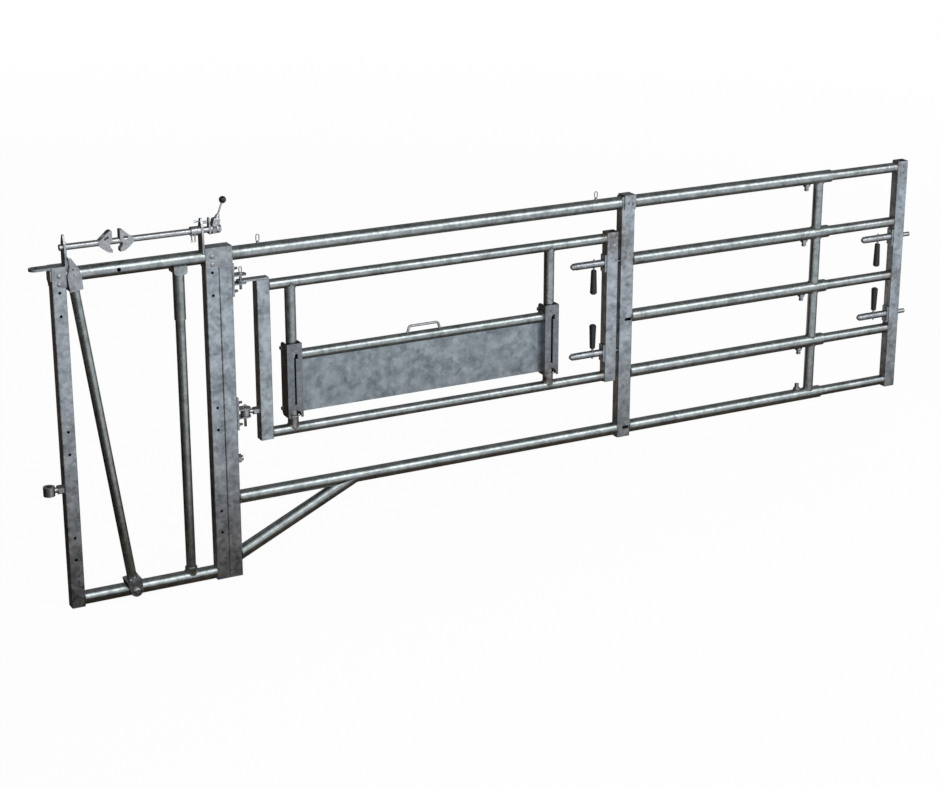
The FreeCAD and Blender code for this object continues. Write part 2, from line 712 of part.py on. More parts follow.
def catch_bracket():
    """Pair of peaked cheeks astride the top tube, joined by a foot plate and the catch pin."""
    half = CATCH_HALF_WIDTH
    foot = YOKE_HEIGHT - CATCH_FOOT_DROP
    top = YOKE_HEIGHT + CATCH_TOP_RISE
    outline = [
        (-half, foot),
        (half, foot),
        (CATCH_BULGE, YOKE_HEIGHT + CATCH_BULGE_RISE),
        (CATCH_SHOULDER_HALF, YOKE_HEIGHT + CATCH_SHOULDER_RISE),
        (CATCH_PIN_OFFSET + CATCH_PEAK_HALF, top),
        (CATCH_PIN_OFFSET - CATCH_PEAK_HALF, top),
        (CATCH_PIN_OFFSET - CATCH_PEAK_HALF, YOKE_HEIGHT + CATCH_NECK_RISE),
        (-half, YOKE_HEIGHT + CATCH_LEFT_RISE),
    ]
    pieces = [bar_prism(outline, y_low, y_low + CHEEK_THICKNESS) for y_low in (-cheek_out, cheek_in)]
    foot_top = foot + CHEEK_THICKNESS
    foot_outline = [(-half, foot), (half, foot), (half, foot_top), (-half, foot_top)]
    pieces.append(bar_prism(foot_outline, -cheek_out, cheek_out))
    x, z = bar_point(CATCH_PIN_OFFSET, YOKE_HEIGHT + CATCH_PIN_RISE)
    pin_y = cheek_out + CATCH_PIN_END
    pieces.append(cylinder(CATCH_PIN_D / 2, Vector(x, -pin_y, z), Y_AXIS, 2 * pin_y))
    x, z = bar_point(0, YOKE_HEIGHT + CATCH_HOLE_RISE)
    return drilled(fused(pieces), CATCH_HOLE_D, Vector(x, -cheek_out, z), Y_AXIS, 2 * cheek_out)


def latch_rod():
    """Round rod that turns in the two arms, with its washer, collar and end nut."""
    left_end = left_arm_x - ROD_LEFT_OVERRUN
    right_end = inner_post_x + ROD_RIGHT_OVERRUN
    rod = cylinder(ROD_D / 2, Vector(left_end, 0, rod_z), X_AXIS, right_end - left_end)
    washer_start = Vector(left_arm_x + ARM_THICKNESS + SEAT_GAP, 0, rod_z)
    washer = cylinder(COLLAR_OD / 2, washer_start, X_AXIS, WASHER_THICKNESS)
    collar_start = Vector(right_arm_x - COLLAR_LENGTH - SEAT_GAP, 0, rod_z)
    collar = cylinder(COLLAR_OD / 2, collar_start, X_AXIS, COLLAR_LENGTH)
    nut_start = Vector(LEVER_X + LEVER_HUB_LENGTH / 2, 0, rod_z)
    nut = hexagon(NUT_FLATS, nut_start, X_AXIS, ROD_NUT_THICKNESS)
    return fused([rod, washer, collar, nut])


def claw_slot(gap_face_x, side):
    """Slanting slot in the front cheek of the left claw."""
    ends = [
        Vector(gap_face_x + side * u, -CLAW_HALF_DEPTH - OVERCUT, rod_z + v)
        for u, v in (CLAW_SLOT_HIGH, CLAW_SLOT_LOW)
    ]
    depth = CLAW_PLATE + 2 * OVERCUT
    radius = CLAW_SLOT_WIDTH / 2
    across = (ends[1] - ends[0]).cross(Y_AXIS).normalize() * radius
    middle = plate(
        [ends[0] - across, ends[0] + across, ends[1] + across, ends[1] - across],
        Vector(0, depth, 0),
    )
    return fused([middle] + [cylinder(radius, end, Y_AXIS, depth) for end in ends])


def claw_window(gap_face_x, side):
    """Square window in the front cheek of the right claw."""
    xs = sorted(gap_face_x + side * u for u in CLAW_WINDOW_X)
    zs = [rod_z + v for v in CLAW_WINDOW_Z]
    return slab(xs, (-CLAW_HALF_DEPTH - OVERCUT, CLAW_PLATE + OVERCUT - CLAW_HALF_DEPTH), zs)


def claw(gap_face_x, side, opening):
    """Latch claw: two cheeks joined by a hub round the rod and by a web at the gap.

    side is -1 for the claw on the left of the gap and +1 for the one on the right.
    """
    half = CLAW_HALF_DEPTH
    outline = [(gap_face_x + side * u, rod_z + v) for u, v in CLAW_OUTLINE]
    front = upright_plate(outline, -half, CLAW_PLATE - half).cut(opening(gap_face_x, side))
    back = upright_plate(outline, half - CLAW_PLATE, half)
    web_xs = sorted((gap_face_x, gap_face_x + side * CLAW_PLATE))
    web_room = slab(web_xs, (-half, half), (YOKE_HEIGHT, rod_z + ROD_ABOVE_TUBE))
    web = upright_plate(outline, -half, half).common(web_room)
    hub_ends = sorted(gap_face_x + side * u for u in (CLAW_HUB_START, CLAW_HUB_END))
    hub = cylinder(half, Vector(hub_ends[0], 0, rod_z), X_AXIS, hub_ends[1] - hub_ends[0])
    body = fused([front, back, hub] + web.Solids)
    bore_start = Vector(left_arm_x, 0, rod_z)
    return body.cut(cylinder(ROD_D / 2 + RUNNING_GAP, bore_start, X_AXIS, YOKE_INSIDE))


def latch_lever():
    """Hub on the rod's end with its plate, socket and the lever rod that leans outward."""
    hub_x = LEVER_X - LEVER_HUB_LENGTH / 2
    hub = cylinder(LEVER_HUB_OD / 2, Vector(hub_x, 0, rod_z), X_AXIS, LEVER_HUB_LENGTH)
    foot_z = rod_z - LEVER_HUB_OD / 2
    plate_x = hub_x - LEVER_PLATE
    outline = [
        Vector(plate_x, -LEVER_PLATE_HALF, foot_z),
        Vector(plate_x, LEVER_PLATE_HALF, foot_z),
        Vector(plate_x, LEVER_PLATE_TOP_HALF, rod_z + LEVER_PLATE_RISE),
        Vector(plate_x, -LEVER_PLATE_TOP_HALF, rod_z + LEVER_PLATE_RISE),
    ]
    side_plate = plate(outline, Vector(LEVER_PLATE, 0, 0))
    start = Vector(LEVER_X, 0, rod_z)
    foot_r = SOCKET_FOOT_D / 2
    socket_outline = [
        (0, 0),
        (foot_r, 0),
        (foot_r, SOCKET_SHOULDER),
        (SOCKET_TOP_D / 2, SOCKET_LENGTH),
        (0, SOCKET_LENGTH),
    ]
    socket = turned(socket_outline, start, lever_direction)
    stem = cylinder(LEVER_ROD_D / 2, start, lever_direction, LEVER_REACH)
    body = fused([hub, side_plate, socket, stem])
    nut_start = Vector(LEVER_X + LEVER_HUB_LENGTH / 2, 0, rod_z)
    nut_room = cylinder(NUT_FLATS / math.sqrt(3) + SEAT_GAP, nut_start, X_AXIS, LEVER_HUB_LENGTH)
    body = body.cut(nut_room)
    bore_length = LEVER_PLATE + LEVER_HUB_LENGTH
    return drilled(body, ROD_D + SEAT_GAP, Vector(plate_x, 0, rod_z), X_AXIS, bore_length)


def lever_knob():
    """Ball knob at the end of the lever."""
    centre = Vector(LEVER_X, 0, rod_z) + lever_direction * LEVER_REACH
    turns = [math.pi * (i / KNOB_BANDS - 0.5) for i in range(KNOB_BANDS + 1)]
    outline = [(KNOB_D / 2 * math.cos(a), KNOB_D / 2 * math.sin(a)) for a in turns]
    outline[0] = (0, -KNOB_D / 2)
    outline[-1] = (0, KNOB_D / 2)
    ball = turned(outline, centre, lever_direction)
    stem_start = centre - lever_direction * KNOB_D
    stem_length = KNOB_D + SEAT_GAP
    return ball.cut(cylinder(LEVER_ROD_D / 2 + SEAT_GAP, stem_start, lever_direction, stem_length))


def rail(z, x_low, x_high, wall):
    """A level rail of the gate."""
    return tube(MAIN_TUBE_OD, wall, Vector(x_low, 0, z), X_AXIS, x_high - x_low)


def gate_brace():
    """Slanting tube from the hanging post up to the bottom rail."""
    run = Vector(BRACE_REACH, 0, low_rail_z - BRACE_TOP_Z)
    start = Vector(doorway_x, 0, BRACE_TOP_Z) - run * BRACE_SPARE
    body = tube(MAIN_TUBE_OD, MAIN_TUBE_WALL, start, run, run.Length * (1 + 2 * BRACE_SPARE))
    across = (-MAIN_TUBE_OD, MAIN_TUBE_OD)
    body = body.cut(slab((0, doorway_x), across, (-YOKE_HEIGHT, YOKE_HEIGHT)))
    body = body.cut(slab((0, middle_post_x), across, (low_rail_z, YOKE_HEIGHT)))
    return body.cut(cylinder(main_r, Vector(doorway_x, 0, low_rail_z), X_AXIS, DOORWAY))


def ring_pin(x):
    """Pin with a pull ring, dropped through the top rail."""
    top = YOKE_HEIGHT + main_r
    head = cylinder(RING_PIN_HEAD_D / 2, Vector(x, 0, top), Z_AXIS, RING_PIN_HEAD)
    return fused([head, pull_ring(x, top + RING_PIN_HEAD - RING_SINK, RAIL_RING)])


def middle_post():
    """Post between the doorway and the right-hand panel."""
    foot_z = low_rail_z - main_r - MIDDLE_POST_OVERRUN
    post = box_post(middle_post_x, MIDDLE_POST_WIDTH, foot_z, yoke_post_top)
    for z in door_bolt_heights:
        start = Vector(middle_post_x, 0, z)
        post = drilled(post, BOLT_D + 2 * STRIKE_HOLE_GAP, start, X_AXIS, POST_WALL)
    slot_x = middle_post_x + POST_SLOT_X
    half_height = POST_SLOT_HEIGHT / 2
    for z in (rail_heights[2] - POST_SLOT_DROP, low_rail_z + POST_SLOT_LOW_RISE):
        x_range = (slot_x - POST_SLOT_WIDTH / 2, slot_x + POST_SLOT_WIDTH / 2)
        post = post.cut(slab(x_range, (-POST_DEPTH, 0), (z - half_height, z + half_height)))
    return post


def middle_post_cap():
    """Folded cap over the middle post, with two square holes in its front leaf."""
    x_range = (middle_post_x + CAP_SETBACK, panel_x)
    y_out = post_half + LUG_LEAF
    top = slab(x_range, (-y_out, y_out), (yoke_post_top, yoke_post_top + LUG_LEAF))
    leaf_range = (yoke_post_top - CAP_LEAF_HEIGHT, yoke_post_top)
    front = slab(x_range, (-y_out, -post_half), leaf_range)
    back = slab(x_range, (post_half, y_out), leaf_range)
    body = fused([top, front, back])
    for inset, drop in CAP_HOLES:
        low = Vector(middle_post_x + inset, -y_out, yoke_post_top - drop)
        hole_x = (low.x - CAP_HOLE_WIDTH / 2, low.x + CAP_HOLE_WIDTH / 2)
        hole_z = (low.z - CAP_HOLE_HEIGHT / 2, low.z + CAP_HOLE_HEIGHT / 2)
        body = body.cut(slab(hole_x, (-y_out - OVERCUT, -post_half), hole_z))
    return body


def panel_rails():
    """Five outer rails of the right-hand panel, drilled for their clamp screws."""
    rails = []
    for z in rail_heights:
        body = rail(z, panel_x, rail_end_x, RAIL_TUBE_WALL)
        start = Vector(rail_end_x - CLAMP_INSET, 0, z)
        hole_r = CLAMP_SCREW_D / 2 + SEAT_GAP
        rails.append(body.cut(cylinder(hole_r, start, clamp_direction(z), MAIN_TUBE_OD)))
    return rails


def clamp_direction(z):
    """Clamp screws stand below the rails, and above the bottom one."""
    return Z_AXIS if z == low_rail_z else -Z_AXIS


def clamp_screws():
    """Boss and screw that clamp each sliding rail."""
    screws = []
    tip = inner_r + SEAT_GAP
    screw_length = main_r - tip + CLAMP_SCREW_LENGTH
    for z in rail_heights:
        direction = clamp_direction(z)
        centre = Vector(rail_end_x - CLAMP_INSET, 0, z)
        boss = cylinder(CLAMP_BOSS_D / 2, centre, direction, main_r + CLAMP_BOSS_HEIGHT)
        boss = boss.cut(cylinder(main_r, Vector(panel_x, 0, z), X_AXIS, OUTER_RAIL_LENGTH))
        screw = cylinder(CLAMP_SCREW_D / 2, centre + direction * tip, direction, screw_length)
        screws.append(fused([boss, screw]))
    return screws


def panel_brace():
    """Upright brace between the five rails, in four lengths."""
    x = rail_end_x - PANEL_BRACE_INSET
    lengths = []
    for low, high in zip(rail_heights[1:], rail_heights[:-1]):
        body = tube(INNER_TUBE_OD, INNER_TUBE_WALL, Vector(x, 0, low), Z_AXIS, high - low)
        for z in (low, high):
            body = body.cut(cylinder(main_r, Vector(panel_x, 0, z), X_AXIS, OUTER_RAIL_LENGTH))
        lengths.append(body)
    return lengths


def door_hinge_bracket(low_bolt_z):
    """Plate with two ears, bolted through the hanging post."""
    across = (-EAR_RADIUS, EAR_RADIUS)
    z_range = (low_bolt_z - HINGE_PLATE_FOOT, low_bolt_z + SPARE_PAIR_PITCH + HINGE_PLATE_HEAD)
    pieces = [slab((doorway_x, doorway_x + HINGE_PLATE), across, z_range)]
    for ear_z in (low_bolt_z + EAR_LOW, low_bolt_z + EAR_HIGH):
        pieces.append(slab((doorway_x, door_axis_x), across, (ear_z, ear_z + EAR_THICKNESS)))
        pieces.append(cylinder(EAR_RADIUS, Vector(door_axis_x, 0, ear_z), Z_AXIS, EAR_THICKNESS))
    body = fused(pieces)
    for hole_z in (low_bolt_z, low_bolt_z + SPARE_PAIR_PITCH):
        body = drilled(body, SPARE_HOLE_D, Vector(doorway_x, 0, hole_z), X_AXIS, HINGE_PLATE)
    pin_start = Vector(door_axis_x, 0, low_bolt_z)
    return body.cut(cylinder(DOOR_PIN_D / 2 + SEAT_GAP / 2, pin_start, Z_AXIS, SPARE_PAIR_PITCH))


def door_hinge_pin(low_bolt_z):
    """Loose pin of a door hinge, with its head and pull ring."""
    top = low_bolt_z + EAR_HIGH + EAR_THICKNESS
    foot = low_bolt_z + EAR_LOW - DOOR_PIN_TAIL
    shaft = cylinder(DOOR_PIN_D / 2, Vector(door_axis_x, 0, foot), Z_AXIS, top - foot + DOOR_PIN_HEAD)
    head = cylinder(DOOR_PIN_HEAD_D / 2, Vector(door_axis_x, 0, top), Z_AXIS, DOOR_PIN_HEAD)
    return fused([shaft, head, pull_ring(door_axis_x, top + DOOR_PIN_HEAD - RING_SINK, DOOR_RING)])


def door_posts():
    """Two box posts of the inner door, bored for the lower eye and for the bolts."""
    left = box_post(door_left_x, POST_WIDTH, door_foot_z, door_top_z)
    shank_d = DOOR_SHANK_D + 2 * SEAT_GAP
    left = drilled(left, shank_d, Vector(door_left_x, 0, lower_eye_z), X_AXIS, POST_WALL)
    right = box_post(door_right_x, POST_WIDTH, door_foot_z, door_top_z)
    for z in door_bolt_heights:
        hole_d = BOLT_D + 2 * BOLT_HOLE_GAP
        right = drilled(right, hole_d, Vector(door_right_x, 0, z), X_AXIS, POST_WIDTH)
    return [left, right]


def door_cross_tube(z):
    """Level tube between the two posts of the door."""
    start = Vector(door_left_x + POST_WIDTH, 0, z)
    length = door_right_x - door_left_x - POST_WIDTH
    return tube(INNER_TUBE_OD, INNER_TUBE_WALL, start, X_AXIS, length)


def door_upright(x):
    """Upright tube of the door with the stud that guides the sliding channel."""
    start = Vector(x, 0, door_bottom_tube_z)
    length = door_top_tube_z - door_bottom_tube_z
    body = tube(INNER_TUBE_OD, INNER_TUBE_WALL, start, Z_AXIS, length)
    for z in (door_bottom_tube_z, door_top_tube_z):
        cross = cylinder(inner_r, Vector(door_left_x, 0, z), X_AXIS, door_right_x - door_left_x)
        body = body.cut(cross)
    stud_start = Vector(x, INNER_TUBE_WALL - inner_r, stud_z)
    stud_end = channel_front + GUIDE_STUD_SINK
    stud = cylinder(GUIDE_STUD_D / 2, stud_start, -Y_AXIS, stud_start.y - stud_end)
    return fused([body, stud])


def door_hinge_lug():
    """Flat bar over the door post, with the eye of the upper door hinge."""
    half = DOOR_LUG_WIDTH / 2
    bar = slab(
        (door_axis_x, door_left_x + POST_WIDTH),
        (-half, half),
        (door_top_z, door_top_z + DOOR_LUG_THICKNESS),
    )
    nose = cylinder(half, Vector(door_axis_x, 0, door_top_z), Z_AXIS, DOOR_LUG_THICKNESS)
    body = fused([bar, nose])
    bore = cylinder(
        DOOR_PIN_D / 2 + RUNNING_GAP, Vector(door_axis_x, 0, door_top_z), Z_AXIS, DOOR_LUG_THICKNESS
    )
    return body.cut(bore)


def door_hinge_eye():
    """Eye of the lower door hinge, on a shank with its nut."""
    foot = Vector(door_axis_x, 0, lower_eye_z - DOOR_EYE_HEIGHT / 2)
    eye = cylinder(DOOR_EYE_OD / 2, foot, Z_AXIS, DOOR_EYE_HEIGHT)
    centre = Vector(door_axis_x, 0, lower_eye_z)
    shank_length = door_left_x - door_axis_x + POST_WALL + DOOR_SHANK_TAIL
    shank = cylinder(DOOR_SHANK_D / 2, centre, X_AXIS, shank_length)
    nut_start = Vector(door_left_x - DOOR_NUT_THICKNESS, 0, lower_eye_z)
    nut = hexagon(DOOR_NUT_FLATS, nut_start, X_AXIS, DOOR_NUT_THICKNESS)
    body = fused([eye, shank, nut])
    return drilled(body, DOOR_PIN_D + 2 * RUNNING_GAP, foot, Z_AXIS, DOOR_EYE_HEIGHT)


def bolt_housing(face_x, z, grip_side, setback, travel):
    """Housing of a spring bolt: crimped cap, flange, peg and the slot for the grip."""
    start = Vector(face_x, 0, z)
    r = HOUSING_OD / 2
    end = HOUSING_LENGTH
    groove_r = r - CRIMP_DEPTH
    cap_foot = end - CAP_LENGTH
    outline = [
        (0, 0),
        (r, 0),
        (r, cap_foot - CRIMP_WIDTH),
        (groove_r, cap_foot - CRIMP_WIDTH + CRIMP_DEPTH),
        (groove_r, cap_foot - CRIMP_DEPTH),
        (r, cap_foot),
        (CAP_END_D / 2, end),
        (0, end),
    ]
    half = HOUSING_FLANGE_HEIGHT / 2
    flange_y = (-HOUSING_FLANGE_HALF, HOUSING_FLANGE_HALF)
    flange = slab((face_x - HOUSING_FLANGE, face_x), flange_y, (z - half, z + half))
    peg_start = Vector(face_x - setback, 0, z)
    peg = cylinder(PEG_D / 2, peg_start, Z_AXIS * -grip_side, r + PEG_HEIGHT)
    body = fused([turned(outline, start, -X_AXIS), flange, peg])
    bore_start = start + X_AXIS * OVERCUT
    bore_length = end - HOUSING_END_WALL + OVERCUT
    body = body.cut(cylinder(HOUSING_BORE / 2, bore_start, -X_AXIS, bore_length))
    room = STEM_D / 2 + OVERCUT
    slot_x = (face_x - setback - travel - room, face_x - setback + room)
    slot_z = sorted((z, z + grip_side * (r + OVERCUT)))
    return body.cut(slab(slot_x, (-room, room), slot_z))


def spring_bolt(face_x, z, reach, grip_side, setback):
    """Round bolt with a chamfered nose and the stem of its grip."""
    r = BOLT_D / 2
    tail = face_x - setback - BOLT_TAIL
    length = face_x + reach - tail
    outline = [(0, 0), (r, 0), (r, length - BOLT_NOSE), (r - BOLT_NOSE, length), (0, length)]
    body = turned(outline, Vector(tail, 0, z), X_AXIS)
    stem_start = Vector(face_x - setback, 0, z)
    stem_length = HOUSING_OD / 2 + GRIP_GAP + GRIP_BORE
    return fused([body, cylinder(STEM_D / 2, stem_start, Z_AXIS * grip_side, stem_length)])


def bolt_grip(face_x, z, grip_side, setback):
    """Tapered plastic grip, widening to its free end."""
    start = Vector(face_x - setback, 0, z + grip_side * (HOUSING_OD / 2 + GRIP_GAP))
    top = GRIP_TOP_D / 2
    end = GRIP_END_D / 2
    outline = [
        (0, 0),
        (top - GRIP_TOP_EDGE, 0),
        (top, GRIP_TOP_EDGE),
        (end, GRIP_LENGTH - GRIP_END_EDGE),
        (end - GRIP_END_EDGE, GRIP_LENGTH),
        (0, GRIP_LENGTH),
    ]
    body = turned(outline, start, Z_AXIS * grip_side)
    return body.cut(cylinder(STEM_D / 2 + SEAT_GAP, start, Z_AXIS * grip_side, GRIP_BORE + SEAT_GAP))


def slide_channel(x):
    """Channel that slides on a door upright, open at the back and held by two cross bolts."""
    half = CHANNEL_WIDTH / 2
    back = -channel_front
    body = slab((x - half, x + half), (channel_front, back), (channel_foot_z, channel_top_z))
    back_edges = [
        e for e in body.Edges if abs(e.tangentAt(e.FirstParameter).x) > 0.99 and e.CenterOfMass.y > 0
    ]
    body = body.makeFillet(CHANNEL_CORNER, back_edges)
    inner = half - CHANNEL_WALL
    hollow_y = (channel_front + CHANNEL_WALL, back + OVERCUT)
    body = body.cut(slab((x - inner, x + inner), hollow_y, (channel_foot_z, channel_top_z)))
    web_y = (channel_front - OVERCUT, channel_front + CHANNEL_WALL)
    slot = slab((x - SLOT_WIDTH / 2, x + SLOT_WIDTH / 2), web_y, (slot_low, slot_high))
    key_top = slot_high - KEYHOLE_DROP
    keyhole = slab((x, x + KEYHOLE_WIDTH), web_y, (key_top - KEYHOLE_HEIGHT, key_top))
    arch_z = channel_foot_z + CHANNEL_ARCH_RISE
    arch_start = Vector(x, web_y[0], arch_z)
    arch = cylinder(CHANNEL_ARCH_RADIUS, arch_start, Y_AXIS, CHANNEL_WALL + OVERCUT)
    arch_x = (x - CHANNEL_ARCH_RADIUS, x + CHANNEL_ARCH_RADIUS)
    arch_foot = slab(arch_x, web_y, (channel_foot_z - OVERCUT, arch_z))
    body = body.cut(fused([slot, keyhole])).cut(fused([arch, arch_foot]))
    bolts = [
        cylinder(CROSS_BOLT_D / 2, Vector(x - half, CROSS_BOLT_Y, z), X_AXIS, CHANNEL_WIDTH)
        for z in (channel_foot_z + CROSS_BOLT_INSET, channel_top_z - CROSS_BOLT_INSET)
    ]
    return fused([body] + bolts)


def panel_tube():
    """Level tube along the top of the kick panel."""
    start = Vector(panel_left_x, 0, panel_tube_z)
    return tube(INNER_TUBE_OD, INNER_TUBE_WALL, start, X_AXIS, panel_span)


def kick_sheet():
    """Steel sheet under the panel's tube."""
    half = SHEET_THICKNESS / 2
    z_range = (channel_foot_z + SHEET_FOOT_MARGIN, panel_tube_z)
    body = slab((panel_left_x, panel_left_x + panel_span), (-half, half), z_range)
    return body.cut(cylinder(inner_r, Vector(panel_left_x, 0, panel_tube_z), X_AXIS, panel_span))


def lift_handle():
    """Bent rod on the panel's tube to lift it by."""
    r = HANDLE_ROD_D / 2
    half = HANDLE_WIDTH / 2
    tube_top = panel_tube_z + inner_r
    foot = tube_top - HANDLE_SINK
    top = tube_top + HANDLE_RISE - r
    points = [
        Vector(handle_x - half, 0, foot),
        Vector(handle_x - half + HANDLE_SHOULDER, 0, top),
        Vector(handle_x + half - HANDLE_SHOULDER, 0, top),
        Vector(handle_x + half, 0, foot),
    ]
    pieces = [cylinder(r, a, b - a, (b - a).Length) for a, b in zip(points[:-1], points[1:])]
    pieces += [Part.makeSphere(r, p) for p in points[1:-1]]
    tube_room = cylinder(inner_r, Vector(panel_left_x, 0, panel_tube_z), X_AXIS, panel_span)
    return fused(pieces).cut(tube_room)


def end_post():
    """Post at the free end of the gate."""
    post = box_post(end_post_x, POST_WIDTH, low_rail_z - main_r - POST_OVERRUN, yoke_post_top)
    for z in end_bolt_heights:
        hole_d = BOLT_D + 2 * BOLT_HOLE_GAP
        post = drilled(post, hole_d, Vector(end_post_x, 0, z), X_AXIS, POST_WIDTH)
    for inset, drop in END_HOLES:
        start = Vector(end_post_x + inset, -post_half, yoke_post_top - drop)
        post = drilled(post, END_HOLE_D, start, Y_AXIS, POST_WALL)
    return post


def telescope_rails():
    """Five rails that slide in the outer rails and carry the end post."""
    x_low = end_post_x - TELESCOPE_LENGTH
    return [
        tube(INNER_TUBE_OD, INNER_TUBE_WALL, Vector(x_low, 0, z), X_AXIS, TELESCOPE_LENGTH)
        for z in rail_heights
    ]


save("hinge_post", hinge_post())
save("top_hinge_bracket", top_hinge_bracket())
save("lower_hinge_eye", lower_hinge_eye())
save("yoke_tubes", [yoke_top_tube(), yoke_bottom_tube()])
save("fixed_bar", fixed_bar())
save("fixed_bar_sleeve", fixed_bar_sleeve())
save("fixed_bar_foot", fixed_bar_foot())
save("yoke_inner_post", yoke_inner_post())
save("gate_hanging_post", gate_hanging_post())
save("post_joining_bracket", post_joining_bracket())
save("post_joining_bolt", post_joining_bolt())
save("latch_arms", latch_arms())
save(
    "gate_rails",
    [rail(z, doorway_x, middle_post_x, MAIN_TUBE_WALL) for z in (YOKE_HEIGHT, low_rail_z)],
)
save("gate_brace", gate_brace())
save("rail_ring_pins", [ring_pin(doorway_x + inset) for inset in RING_PIN_INSETS])
save("middle_post", middle_post())
save("middle_post_cap", middle_post_cap())
save("panel_rails", panel_rails())
save("panel_brace", panel_brace())
save("rail_clamp_screws", clamp_screws())
save("door_hinge_brackets", [door_hinge_bracket(z) for z in hinge_pairs])
save("door_hinge_pins", [door_hinge_pin(z) for z in hinge_pairs])

save("swing_bar", swing_bar())
save("bar_clevis", bar_clevis())
save("catch_bracket", catch_bracket())

save("latch_rod", latch_rod())
save("left_claw", claw(CLAW_GAP_CENTRE - CLAW_GAP / 2, -1, claw_slot))
save("right_claw", claw(CLAW_GAP_CENTRE + CLAW_GAP / 2, 1, claw_window))
save("latch_lever", latch_lever())
save("lever_knob", lever_knob())

save("door_posts", door_posts())
save("door_cross_tubes", [door_cross_tube(z) for z in (door_top_tube_z, door_bottom_tube_z)])
save("door_uprights", [door_upright(x) for x in upright_xs])
save("door_hinge_lug", door_hinge_lug())
save("door_hinge_eye", door_hinge_eye())
save(
    "door_bolt_housings",
    [
        bolt_housing(door_right_x, z, side, DOOR_GRIP_SETBACK, BOLT_TRAVEL)
        for z, side in zip(door_bolt_heights, GRIP_SIDES)
    ],
)
save(
    "end_bolt_housings",
    [
        bolt_housing(end_post_x, z, side, END_GRIP_SETBACK, END_BOLT_TRAVEL)
        for z, side in zip(end_bolt_heights, GRIP_SIDES)
    ],
)
for place, z, side in zip(("top", "bottom"), door_bolt_heights, GRIP_SIDES):
    bolt = spring_bolt(door_right_x, z, POST_WIDTH + DOOR_BOLT_REACH, side, DOOR_GRIP_SETBACK)
    save("door_bolt_" + place, bolt)
    save("door_grip_" + place, bolt_grip(door_right_x, z, side, DOOR_GRIP_SETBACK))
for place, z, side in zip(("top", "bottom"), end_bolt_heights, GRIP_SIDES):
    bolt = spring_bolt(end_post_x, z, POST_WIDTH + END_BOLT_REACH, side, END_GRIP_SETBACK)
    save("end_bolt_" + place, bolt)
    save("end_grip_" + place, bolt_grip(end_post_x, z, side, END_GRIP_SETBACK))

save("kick_sheet", kick_sheet())
save("panel_tube", panel_tube())
save("lift_handle", lift_handle())
save("slide_channels", [slide_channel(x) for x in upright_xs])

save("end_post", end_post())
save("telescope_rails", telescope_rails())
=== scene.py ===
import json
import logging
import math
import random
from dataclasses import dataclass
from enum import Enum
from typing import Any, Callable, Sequence

import bpy
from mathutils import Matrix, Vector


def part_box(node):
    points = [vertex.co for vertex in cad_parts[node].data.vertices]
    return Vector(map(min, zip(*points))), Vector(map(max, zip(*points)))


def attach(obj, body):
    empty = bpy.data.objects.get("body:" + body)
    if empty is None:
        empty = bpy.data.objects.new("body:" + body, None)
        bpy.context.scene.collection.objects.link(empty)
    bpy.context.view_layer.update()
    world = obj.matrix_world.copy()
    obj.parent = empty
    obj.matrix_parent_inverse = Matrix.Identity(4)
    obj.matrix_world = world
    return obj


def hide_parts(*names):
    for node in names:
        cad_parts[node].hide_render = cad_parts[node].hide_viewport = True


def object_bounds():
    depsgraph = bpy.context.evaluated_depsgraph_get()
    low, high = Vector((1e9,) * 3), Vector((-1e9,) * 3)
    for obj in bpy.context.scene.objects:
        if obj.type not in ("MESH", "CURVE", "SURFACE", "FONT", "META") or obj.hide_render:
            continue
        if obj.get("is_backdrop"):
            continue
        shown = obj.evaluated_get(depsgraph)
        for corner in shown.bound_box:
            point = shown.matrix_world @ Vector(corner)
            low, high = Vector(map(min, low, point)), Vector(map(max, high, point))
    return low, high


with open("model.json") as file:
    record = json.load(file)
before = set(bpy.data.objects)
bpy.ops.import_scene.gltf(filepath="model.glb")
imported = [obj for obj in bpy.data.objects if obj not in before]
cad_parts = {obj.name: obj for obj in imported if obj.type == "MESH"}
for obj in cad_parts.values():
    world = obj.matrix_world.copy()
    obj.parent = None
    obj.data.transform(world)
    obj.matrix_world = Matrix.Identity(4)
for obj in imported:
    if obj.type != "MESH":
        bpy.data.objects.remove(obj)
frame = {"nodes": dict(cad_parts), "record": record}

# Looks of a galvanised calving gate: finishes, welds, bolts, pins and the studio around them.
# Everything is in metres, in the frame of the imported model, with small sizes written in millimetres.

logging.basicConfig(level=logging.INFO, format="%(name)s: %(message)s")
LOG = logging.getLogger("calving_gate")

MM = 0.001
X_AXIS = Vector((1, 0, 0))
Y_AXIS = Vector((0, 1, 0))
Z_AXIS = Vector((0, 0, 1))

# Heads in shares of their height and width, their dome's steps in degrees, and a thread's depth per pitch.
CHAMFER_FOOT = 0.82
CHAMFER_TOP = 0.86
RIM = 0.35
DOME_STEPS = (30, 50, 68, 84)
THREAD_DEPTH = 0.6

Sizes = tuple[float, ...]
Socket = bpy.types.NodeSocket
Tree = bpy.types.NodeTree
Inputs = dict[str | int, Any]


def mm(*sizes: float) -> Sizes:
    """Sizes in metres, from millimetres."""
    return tuple(size * MM for size in sizes)


class Body(Enum):
    """Moving bodies of the gate."""

    FRAME = "frame"
    YOKE_BAR = "yoke_bar"
    LATCH = "latch"
    DOOR = "door"
    KICK_PANEL = "kick_panel"
    EXTENSION = "extension"


class Slot(Enum):
    """Material slots of the record."""

    BOX = "galvanised_box"
    TUBE = "galvanised_tube"
    PLATE = "galvanised_plate"
    SHEET = "galvanised_sheet"
    HARDWARE = "zinc_hardware"
    PLASTIC = "black_plastic"


